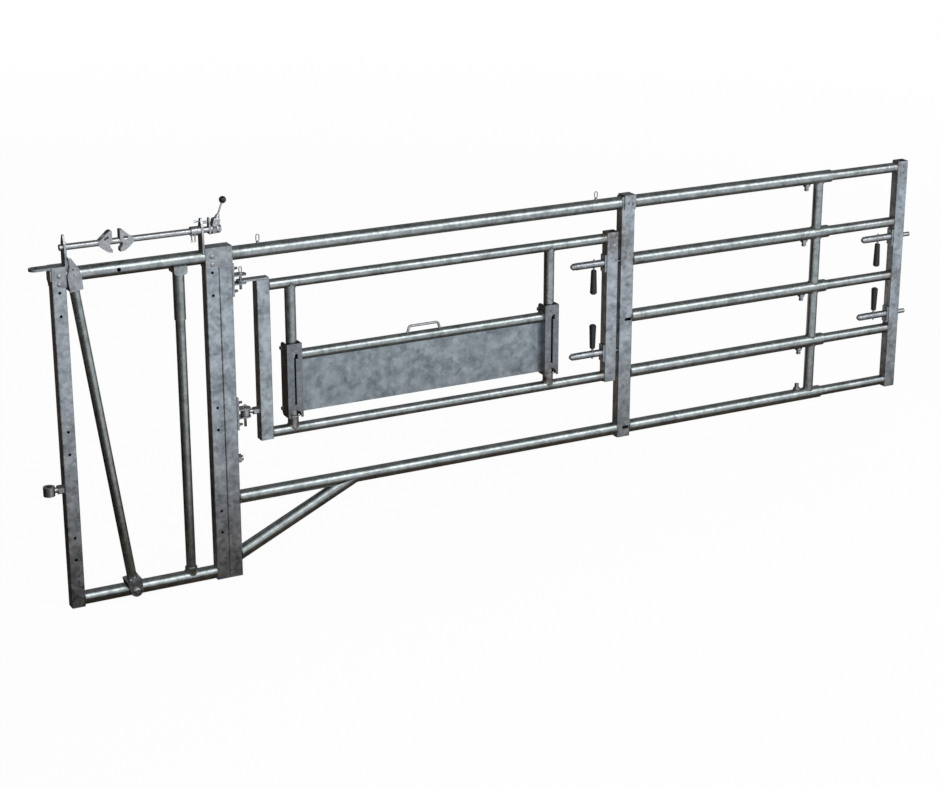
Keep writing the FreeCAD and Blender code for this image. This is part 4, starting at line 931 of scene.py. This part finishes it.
@dataclass
class GateWelds:
    """Beads where rails, braces and posts meet."""

    lines: GateLines
    bead: WeldBead

    def rails(self) -> None:
        """Beads at the ends of the two long rails and of the five panel rails."""
        draft = Draft()
        low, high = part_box("gate_rails")
        panel_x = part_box("panel_rails")[0].x
        places = [(x, z) for z in (self.lines.top_z, self.lines.low_z) for x in (low.x, high.x)]
        places += [(panel_x, z) for z in self.lines.rails]
        for seed, (x, z) in enumerate(places, start=50):
            self.bead.round_tube(draft, Vector((x, 0, z)), X_AXIS, self.lines.main_r, seed)
        draft.dress("rail_welds", Body.FRAME, Finish.WELD)

    def braces(self) -> None:
        """Beads of the upright brace between the panel rails."""
        draft = Draft()
        low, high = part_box("panel_brace")
        x = (low.x + high.x) / 2
        rails = self.lines.rails
        bare = ((rails[0], 1), (rails[-1], -1))
        sides = [(z, side) for z in rails for side in (-1, 1) if (z, side) not in bare]
        for seed, (z, side) in enumerate(sides, start=80):
            self.bead.saddle(draft, Vector((x, 0, z)), self.lines.inner_r, self.lines.main_r, side, seed)
        draft.dress("brace_welds", Body.FRAME, Finish.WELD)

    def slide_end(self) -> None:
        """Beads of the five sliding rails at the end post."""
        draft = Draft()
        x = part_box("end_post")[0].x
        for seed, z in enumerate(self.lines.rails, start=100):
            self.bead.round_tube(draft, Vector((x, 0, z)), X_AXIS, self.lines.inner_r, seed)
        draft.dress("end_rail_welds", Body.EXTENSION, Finish.WELD)


@dataclass
class ClampScrews:
    """Threads, weld nuts, lock nuts and heads of the five clamp screws."""

    lines: GateLines
    seat: float = 29.0 * MM
    boss: float = 44.15 * MM
    tip: float = 60.15 * MM
    weld_nut: Sizes = mm(33.0, 10.0)
    lock_nut: Sizes = mm(19.0, 6.5)
    head: Sizes = mm(21.0, 8.2)
    head_back: float = 8.0 * MM
    thread: Sizes = mm(12.6, 1.9, 12.0)

    def make(self) -> None:
        """Draw the screws below the upper rails and above the bottom one."""
        low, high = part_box("rail_clamp_screws")
        x = (low.x + high.x) / 2
        threads = Draft()
        heads = Draft()
        for z in self.lines.rails:
            way = Z_AXIS if z == self.lines.rails[-1] else -Z_AXIS
            axis = Vector((x, 0, z))
            threads.thread(axis + way * self.boss, way, *self.thread)
            heads.hex_head(axis + way * self.seat, way, *self.weld_nut)
            heads.hex_head(axis + way * self.boss, way, *self.lock_nut)
            heads.hex_head(axis + way * (self.tip - self.head_back), way, *self.head)
        threads.dress("clamp_screw_threads", Body.FRAME, Finish.ZINC, Edge.CRISP)
        heads.dress("clamp_screw_heads", Body.FRAME, Finish.ZINC, Edge.CRISP)


@dataclass
class DoorFittings:
    """Welds and bolts of the inner door, and the bolts, hoops and handle of its kick panel."""

    lines: GateLines
    bead: WeldBead
    channel: float = 71.0 * MM
    channel_bolt: Sizes = mm(16.0, 6.5)
    channel_bolt_end: float = 30.0 * MM
    channel_bolt_back: float = 30.0 * MM
    rivet: Sizes = mm(8.0, 2.5)
    rivet_inset: float = 29.0 * MM
    rivet_drop: float = 27.0 * MM
    rivet_sunk: float = 0.3 * MM
    hoop: float = 31.0 * MM
    hoop_rise: float = 4.0 * MM
    hoop_wire: float = 2.0 * MM
    handle_lean: float = 5.0 * MM
    handle_bend: float = 14.0 * MM
    bracket: float = 146.0 * MM
    bracket_plate: float = 8.0 * MM
    bracket_bolts: Sizes = mm(18.0, 118.0)
    bracket_head: Sizes = mm(19.0, 10.0)
    bracket_thread: Sizes = mm(12.0, 1.8, 15.0)
    thread_rise: float = 9.0 * MM

    def welds(self) -> None:
        """Beads of the cross tubes and the uprights."""
        low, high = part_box("door_cross_tubes")
        r = self.lines.inner_r
        draft = Draft()
        seed = 120
        for z, side in zip(self.lines.cross_tubes, (1, -1)):
            for x in (low.x, high.x):
                self.bead.round_tube(draft, Vector((x, 0, z)), X_AXIS, r, seed)
                seed += 1
            for x in self.lines.uprights:
                self.bead.saddle(draft, Vector((x, 0, z)), r, r, side, seed)
                seed += 1
        draft.dress("door_welds", Body.DOOR, Finish.WELD)

    def channel_bolts(self) -> None:
        """Heads of the cross bolts behind the two slide channels."""
        low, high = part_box("slide_channels")
        draft = Draft()
        for left, right in ((low.x, low.x + self.channel), (high.x - self.channel, high.x)):
            for x, way in ((left, -X_AXIS), (right, X_AXIS)):
                for z in (low.z + self.channel_bolt_end, high.z - self.channel_bolt_end):
                    draft.hex_head(Vector((x, self.channel_bolt_back, z)), way, *self.channel_bolt)
        draft.dress("channel_bolt_heads", Body.KICK_PANEL, Finish.ZINC, Edge.CRISP)

    def channel_rivets(self) -> None:
        """Small dark rivet near the top of each slide channel."""
        low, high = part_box("slide_channels")
        draft = Draft()
        for left in (low.x, high.x - self.channel):
            seat = Vector((left + self.rivet_inset, low.y + self.rivet_sunk, high.z - self.rivet_drop))
            draft.button_head(seat, -Y_AXIS, *self.rivet)
        draft.dress("channel_rivets", Body.KICK_PANEL, Finish.WELD)

    def hoops(self) -> None:
        """Thin hoop across the arch at the foot of each slide channel."""
        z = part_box("slide_channels")[0].z + self.hoop_rise
        draft = Draft()
        for x in self.lines.uprights:
            path = arc(Vector((x, 0, z)), X_AXIS, Y_AXIS, self.hoop, steps=24, start=180, turn=180)
            draft.sweep(path, lambda s: self.hoop_wire, Z_AXIS)
        draft.dress("channel_hoops", Body.KICK_PANEL, Finish.ZINC)

    def panel_welds(self) -> None:
        """Beads of the panel's tube at the channels."""
        low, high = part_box("panel_tube")
        z = (low.z + high.z) / 2
        draft = Draft()
        for seed, x in enumerate((low.x, high.x), start=150):
            self.bead.round_tube(draft, Vector((x, 0, z)), X_AXIS, self.lines.inner_r, seed)
        draft.dress("panel_tube_welds", Body.KICK_PANEL, Finish.WELD)

    def handle(self) -> None:
        """Handle bent from round bar, with rounded corners, in place of the plain one."""
        low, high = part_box("lift_handle")
        r = (high.y - low.y) / 2
        bend = self.handle_bend
        inset = r + self.handle_lean + bend
        level = high.z - r - bend
        path = [Vector((low.x + r, 0, low.z))]
        path += arc(Vector((low.x + inset, 0, level)), X_AXIS, Z_AXIS, bend, steps=6, start=180, turn=-90)
        path += arc(Vector((high.x - inset, 0, level)), X_AXIS, Z_AXIS, bend, steps=6, start=90, turn=-90)
        path.append(Vector((high.x - r, 0, low.z)))
        draft = Draft()
        draft.sweep(path, lambda s: r, Y_AXIS, sides=12)
        handle = draft.dress("bent_handle", Body.KICK_PANEL, Finish.PLATE)
        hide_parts("lift_handle")

    def hinge_bolts(self) -> None:
        """Bolt heads and thread ends on the two hinge brackets of the door."""
        low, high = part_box("door_hinge_brackets")
        draft = Draft()
        for foot in (low.z, high.z - self.bracket):
            for rise in self.bracket_bolts:
                seat = Vector((low.x + self.bracket_plate, 0, foot + rise))
                draft.hex_head(seat, X_AXIS, *self.bracket_head)
                draft.thread(seat + X_AXIS * self.thread_rise, X_AXIS, *self.bracket_thread)
        draft.dress("hinge_bracket_bolts", Body.FRAME, Finish.ZINC, Edge.CRISP)


@dataclass
class SpringBoltFittings:
    """Screws that hold the flanges of the spring bolts."""

    half_pitch: float = 31.0 * MM
    flange_half: float = 43.0 * MM
    flange: float = 8.0 * MM
    head: Sizes = mm(13.0, 6.0)

    def flange_bolts(self, node: str, body: Body) -> None:
        """Heads on the flanges of two housings.

        Args:
            node: node that holds the two housings.
            body: body that they ride on.
        """
        low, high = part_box(node)
        draft = Draft()
        for z in (low.z + self.flange_half, high.z - self.flange_half):
            for side in (-1, 1):
                seat = Vector((high.x - self.flange, 0, z + side * self.half_pitch))
                draft.hex_head(seat, -X_AXIS, *self.head)
        draft.dress(node + "_screws", body, Finish.ZINC, Edge.CRISP)


def dress_model() -> None:
    """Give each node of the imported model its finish. The slide channels are duller than other plates."""
    slots = {
        Slot.BOX.value: Finish.BOX,
        Slot.TUBE.value: Finish.TUBE,
        Slot.PLATE.value: Finish.PLATE,
        Slot.SHEET.value: Finish.SHEET,
        Slot.HARDWARE.value: Finish.ZINC,
        Slot.PLASTIC.value: Finish.PLASTIC,
    }
    for part in frame["record"]["subparts"]:
        node = frame["nodes"][part["node"]]
        finish = Finish.CHANNEL if part["node"] == "slide_channels" else slots[part["material_slot"]]
        for slot in node.material_slots:
            slot.material = bpy.data.materials[finish.value]


@dataclass(frozen=True)
class Fade:
    """Smooth change of brightness along one axis of the gate."""

    axis: str
    start: float
    stop: float
    low: float
    high: float

    def value(self, tree: Tree) -> Socket:
        """Add the fade to a tree.

        Args:
            tree: node tree of a card.

        Returns:
            Its brightness at each place.
        """
        place = add_node(tree, "TexCoord", {}, "Object")
        along = add_node(tree, "SeparateXYZ", {0: place}, self.axis)
        span = {"Value": along, "From Min": self.start, "From Max": self.stop}
        ends = {"To Min": self.low, "To Max": self.high}
        return add_node(tree, "MapRange", span | ends, interpolation_type="SMOOTHSTEP")


@dataclass
class Studio:
    """Pale floor, soft light from the front and dark cards that only the metal reflects."""

    floor_half: float = 30.0
    floor_drop: float = 0.5 * MM
    floor_white: Sizes = (0.95, 1.0)
    floor_fade: Sizes = (5.0, 16.0)
    left: float = -12.0
    right: float = 16.0
    near: float = -6.0
    far: float = 14.0
    height: float = 5.0
    ground_z: float = 2.0 * MM
    overhead_near: float = -2.4
    overhead_glow: float = 0.26
    side_x: float = -5.0
    side_near: float = -1.5
    side_glow: float = 0.05
    back_glow: float = 0.1
    front: Fade = Fade("Y", -0.2, -2.0, 0.13, 1.0)
    behind: Fade = Fade("Y", 0.1, 0.9, 1.0, 0.14)
    hanging_side: Fade = Fade("X", -0.8, 0.9, 0.12, 1.0)
    depth: Fade = Fade("Y", 0.6, 2.0, 0.0, 1.0)
    far_side: Fade = Fade("X", 0.5, 2.8, 0.08, 0.62)
    softbox: Sizes = (9.5, 3.2)
    softbox_offset: float = 3.0
    softbox_place: Sizes = (-5.3, 5.1)
    softbox_aim: float = 0.4
    softbox_watts: float = 270.0
    fill: Sizes = (3.0, 3.0)
    fill_place: Sizes = (-5.0, -7.0, 3.0)
    fill_watts: float = 55.0
    world_light: float = 0.55
    lens: float = 83.5
    sensor: float = 36.0
    clip: float = 200.0
    camera_place: Sizes = (-2.4700, -8.3405, 3.84405)
    camera_tilt: float = 71.317
    camera_turn: float = -27.788

    def plane(self, name: str, outline: Sequence[Sizes], surface: str) -> bpy.types.Object:
        """Add a flat stage piece.

        Args:
            name: name of the piece.
            outline: its four corners.
            surface: name of its material.

        Returns:
            The new object.
        """
        mesh = bpy.data.meshes.new(name)
        mesh.from_pydata(outline, [], [(0, 1, 2, 3)])
        mesh.materials.append(bpy.data.materials[surface])
        piece = bpy.data.objects.new(name, mesh)
        bpy.context.scene.collection.objects.link(piece)
        piece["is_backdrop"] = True
        return piece

    def level(self, near: float, z: float) -> list[Sizes]:
        """Corners of a level card that reaches from a near edge to the back."""
        left, right, far = self.left, self.right, self.far
        return [(left, near, z), (right, near, z), (right, far, z), (left, far, z)]

    def tree_of(self, name: str) -> Tree:
        """Make an empty material and hand back its node tree."""
        material = bpy.data.materials.new(name)
        material.use_nodes = True
        material.node_tree.nodes.clear()
        return material.node_tree

    def seen(self, tree: Tree) -> Socket:
        """Tell the rays of the eye, of gloss and of glass from those that carry light.

        Args:
            tree: node tree that asks.

        Returns:
            One for such a ray, and zero for any other.
        """
        rays = add_node(tree, "LightPath", {}).node.outputs
        share = rays["Is Camera Ray"]
        for kind in ("Is Glossy Ray", "Is Transmission Ray"):
            share = add_node(tree, "Math", {0: share, 1: rays[kind]}, operation="MAXIMUM")
        return share

    def floor(self) -> None:
        """Pale floor that looks white and keeps a little of the gate's shadow near the gate."""
        tree = self.tree_of("studio_floor")
        place = add_node(tree, "TexCoord", {}, "Object")
        away = add_node(tree, "VectorMath", {0: place}, "Value", operation="LENGTH")
        span = {"Value": away, "From Min": self.floor_fade[0], "From Max": self.floor_fade[1]}
        ends = {"To Min": self.floor_white[0], "To Max": self.floor_white[1]}
        white = add_node(tree, "MapRange", span | ends, interpolation_type="SMOOTHSTEP")
        share = add_node(tree, "Math", {0: self.seen(tree), 1: white}, operation="MULTIPLY")
        diffuse = add_node(tree, "BsdfDiffuse", {"Color": "#f4f4f2"})
        glow = add_node(tree, "Emission", {"Color": "#ffffff", "Strength": 1.0})
        mix = add_node(tree, "MixShader", {0: share, 1: diffuse, 2: glow})
        feed(tree, tree.nodes.new("ShaderNodeOutputMaterial"), {"Surface": mix})
        half = self.floor_half
        edges = ((-half, -half), (half, -half), (half, half), (-half, half))
        self.plane("floor", [(x, y, -self.floor_drop) for x, y in edges], "studio_floor")

    def card(self, name: str, outline: Sequence[Sizes], glow: Callable[[Tree], Inputs]) -> None:
        """Add a dark card that only reflections see.

        Args:
            name: name of the card.
            outline: its four corners.
            glow: gives the colour and strength that it shows in the metal.
        """
        tree = self.tree_of(name)
        shown = add_node(tree, "Emission", glow(tree))
        feed(tree, tree.nodes.new("ShaderNodeOutputMaterial"), {"Surface": shown})
        piece = self.plane(name, outline, name)
        for ray in ("camera", "diffuse", "shadow", "transmission", "volume_scatter"):
            setattr(piece, "visible_" + ray, False)

    def ground_glow(self, tree: Tree) -> Inputs:
        """Light of the ground card: bright in front and far right behind, dark and brown elsewhere.

        Args:
            tree: node tree of the card.

        Returns:
            Its colour and strength.
        """
        shade = self.front.value(tree)
        for fade in (self.behind, self.hanging_side):
            shade = add_node(tree, "Math", {0: shade, 1: fade.value(tree)}, operation="MULTIPLY")
        rear = {0: self.depth.value(tree), 1: self.far_side.value(tree)}
        total = add_node(tree, "Math", {0: shade, 1: add_node(tree, "Math", rear, operation="MULTIPLY")})
        earth = add_node(tree, "Mix", {0: total, 6: "#dcb99a", 7: "#f6faff"}, 2, data_type="RGBA")
        return {"Color": earth, "Strength": total}

    def cards(self) -> None:
        """Ground card round the gate, a card overhead, one at the left and one at the back."""

        def even(strength: float) -> Callable[[Tree], Inputs]:
            """Glow of a card that is the same all over."""
            return lambda tree: {"Color": "#f2efec", "Strength": strength}

        def upright(start: float, stop: float) -> list[Sizes]:
            """Corners of an upright card, along the ground and up."""
            return [(start, 0.0), (stop, 0.0), (stop, self.height), (start, self.height)]

        left = [(self.side_x, y, z) for y, z in upright(self.side_near, self.far)]
        back = [(x, self.far, z) for x, z in upright(self.left, self.right)]
        overhead = self.level(self.overhead_near, self.height)[::-1]
        self.card("ground_card", self.level(self.near, self.ground_z), self.ground_glow)
        self.card("overhead_card", overhead, even(self.overhead_glow))
        self.card("left_card", left, even(self.side_glow))
        self.card("back_card", back, even(self.back_glow))

    def lamp(self, name: str, place: Vector, target: Vector, size: Sizes, watts: float) -> None:
        """Add an area lamp that faces a point.

        Args:
            name: name of the lamp.
            place: its centre.
            target: point that it faces.
            size: its width and height.
            watts: its power.
        """
        light = bpy.data.lights.new(name, "AREA")
        light.shape = "RECTANGLE"
        light.size, light.size_y = size
        light.energy = watts
        lamp = bpy.data.objects.new(name, light)
        lamp.location = place
        lamp.rotation_euler = (target - place).to_track_quat("-Z", "Y").to_euler()
        bpy.context.scene.collection.objects.link(lamp)

    def lamps(self) -> None:
        """Long softbox in front and above, and a weak fill from the left."""
        low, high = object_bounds()
        middle = Vector(((low[0] + high[0]) / 2, 0, (low[2] + high[2]) / 2))
        box = Vector((middle.x + self.softbox_offset, *self.softbox_place))
        aim = Vector((box.x, 0, middle.z + self.softbox_aim))
        self.lamp("softbox", box, aim, self.softbox, self.softbox_watts)
        fill = Vector(self.fill_place) + X_AXIS * middle.x
        self.lamp("fill", fill, middle, self.fill, self.fill_watts)

    def world(self) -> None:
        """White surroundings for the eye and for gloss, softer ones for the light."""
        world = bpy.data.worlds.new("studio")
        bpy.context.scene.world = world
        world.use_nodes = True
        tree = world.node_tree
        tree.nodes.clear()
        strength = add_node(tree, "MapRange", {"Value": self.seen(tree), "To Min": self.world_light})
        back = add_node(tree, "Background", {"Color": "#ffffff", "Strength": strength})
        feed(tree, tree.nodes.new("ShaderNodeOutputWorld"), {"Surface": back})

    def camera(self) -> None:
        """Camera at the photograph's viewing angle."""
        data = bpy.data.cameras.new("camera")
        data.lens = self.lens
        data.sensor_width = self.sensor
        data.clip_end = self.clip
        camera = bpy.data.objects.new("camera", data)
        camera.location = self.camera_place
        camera.rotation_euler = (math.radians(self.camera_tilt), 0, math.radians(self.camera_turn))
        bpy.context.scene.collection.objects.link(camera)
        bpy.context.scene.camera = camera

    def build(self) -> None:
        """Set up the whole studio."""
        self.floor()
        self.cards()
        self.lamps()
        self.world()
        self.camera()
        bpy.context.scene.view_settings.view_transform = "Standard"


@dataclass
class Finishes:
    """Every material of the gate, with the scorched places of its welds."""

    lines: GateLines
    end_back: float = 7.0 * MM
    cross_back: float = 8.0 * MM
    panel_forward: float = 12.0 * MM
    hinge_z: float = 0.54
    post_width: float = 60.0 * MM

    def box_tints(self) -> tuple[HeatTint, ...]:
        """Scorch on the posts, beside the tubes that are welded to them."""
        rails = self.lines.rails
        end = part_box("end_post")[0].x
        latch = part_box("door_posts")[1].x
        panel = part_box("panel_rails")[0].x
        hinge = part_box("hinge_post")[1].x
        door_top = self.lines.cross_tubes[1]
        return (
            HeatTint(end, rails[0], 0.09, 0.5),
            HeatTint(end, rails[2], 0.08, 0.5),
            HeatTint(end, rails[3], 0.08, 0.5),
            HeatTint(latch, door_top, 0.10, 0.6),
            HeatTint(latch - self.post_width, door_top, 0.09, 0.6),
            HeatTint(panel, rails[1], 0.09, 0.5),
            HeatTint(panel, rails[3], 0.09, 0.5),
            HeatTint(hinge, self.lines.main_r, 0.09, 0.35),
        )

    def plate_tints(self) -> tuple[HeatTint, ...]:
        """Scorch at the feet of the slide channels and at the lower hinge."""
        foot = self.lines.cross_tubes[0] + self.lines.inner_r
        marks = [HeatTint(x, foot, 0.12, 0.8) for x in self.lines.uprights]
        return (*marks, HeatTint(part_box("hinge_post")[0].x, self.hinge_z, 0.10, 0.5))

    def tube_tints(self) -> tuple[HeatTint, ...]:
        """Scorch on the tubes, just short of the posts and round the feet of the uprights."""
        rails = self.lines.rails
        low, top = self.lines.cross_tubes
        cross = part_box("door_cross_tubes")[1].x - self.cross_back
        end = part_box("end_post")[0].x - self.end_back
        foot = low + 1.5 * self.lines.inner_r
        marks = [HeatTint(x, foot, 0.055, 1.0) for x in self.lines.uprights]
        return (
            *marks,
            HeatTint(cross, top, 0.05, 0.8),
            HeatTint(cross, low, 0.05, 0.7),
            HeatTint(end, rails[1], 0.06, 0.6),
            HeatTint(end, rails[2], 0.06, 0.7),
            HeatTint(end, rails[3], 0.06, 0.6),
            HeatTint(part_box("panel_rails")[0].x + self.panel_forward, rails[0], 0.05, 0.6),
        )

    def make(self) -> None:
        """Build them all."""
        box = self.box_tints()
        plate = self.plate_tints()
        tube = self.tube_tints()
        Galvanised(Finish.BOX, "#727a81", "#bac2c9", 16.0, 55.0, 0.38, 0.06, box).make()
        Galvanised(Finish.TUBE, "#757c7e", "#abb3b4", 14.0, 45.0, 0.30, 0.02, tube).make()
        Galvanised(Finish.PLATE, "#7a7f84", "#b0b6bb", 12.0, 40.0, 0.38, 0.06, plate).make()
        Galvanised(Finish.CHANNEL, "#666b70", "#8d9398", 12.0, 40.0, 0.38, 0.06, plate).make()
        Galvanised(Finish.SHEET, "#6d767d", "#a6afb5", 24.0, 70.0, 0.38, 0.06).make()
        ZincPlated().make()
        WeldMetal().make()
        MouldedPlastic().make()


def main() -> None:
    """Build the looks of the gate and the studio round it."""
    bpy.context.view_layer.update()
    lines = GateLines()
    bead = WeldBead()
    Finishes(lines).make()
    dress_model()
    posts = PostFittings(lines)
    yoke = YokeFittings(lines, bead)
    latch = LatchFittings(lines)
    rings = PullRings()
    welds = GateWelds(lines, bead)
    clamps = ClampScrews(lines)
    door = DoorFittings(lines, bead)
    steps = (posts.bolts, posts.hinge_thread, yoke.welds, yoke.arm_welds, yoke.pivot, yoke.catch_rivet)
    steps += (yoke.bar_welds, latch.knob, latch.lever_block, latch.pins, latch.arm_pin)
    steps += (rings.rail_pins, rings.hinge_pins, welds.rails, welds.braces, welds.slide_end, clamps.make)
    steps += (door.welds, door.channel_bolts, door.channel_rivets, door.hoops, door.panel_welds)
    steps += (door.hinge_bolts, door.handle)
    for step in steps:
        step()
    screws = SpringBoltFittings()
    screws.flange_bolts("door_bolt_housings", Body.DOOR)
    screws.flange_bolts("end_bolt_housings", Body.EXTENSION)
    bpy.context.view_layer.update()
    Studio().build()


if __name__ == "__main__":
    main()
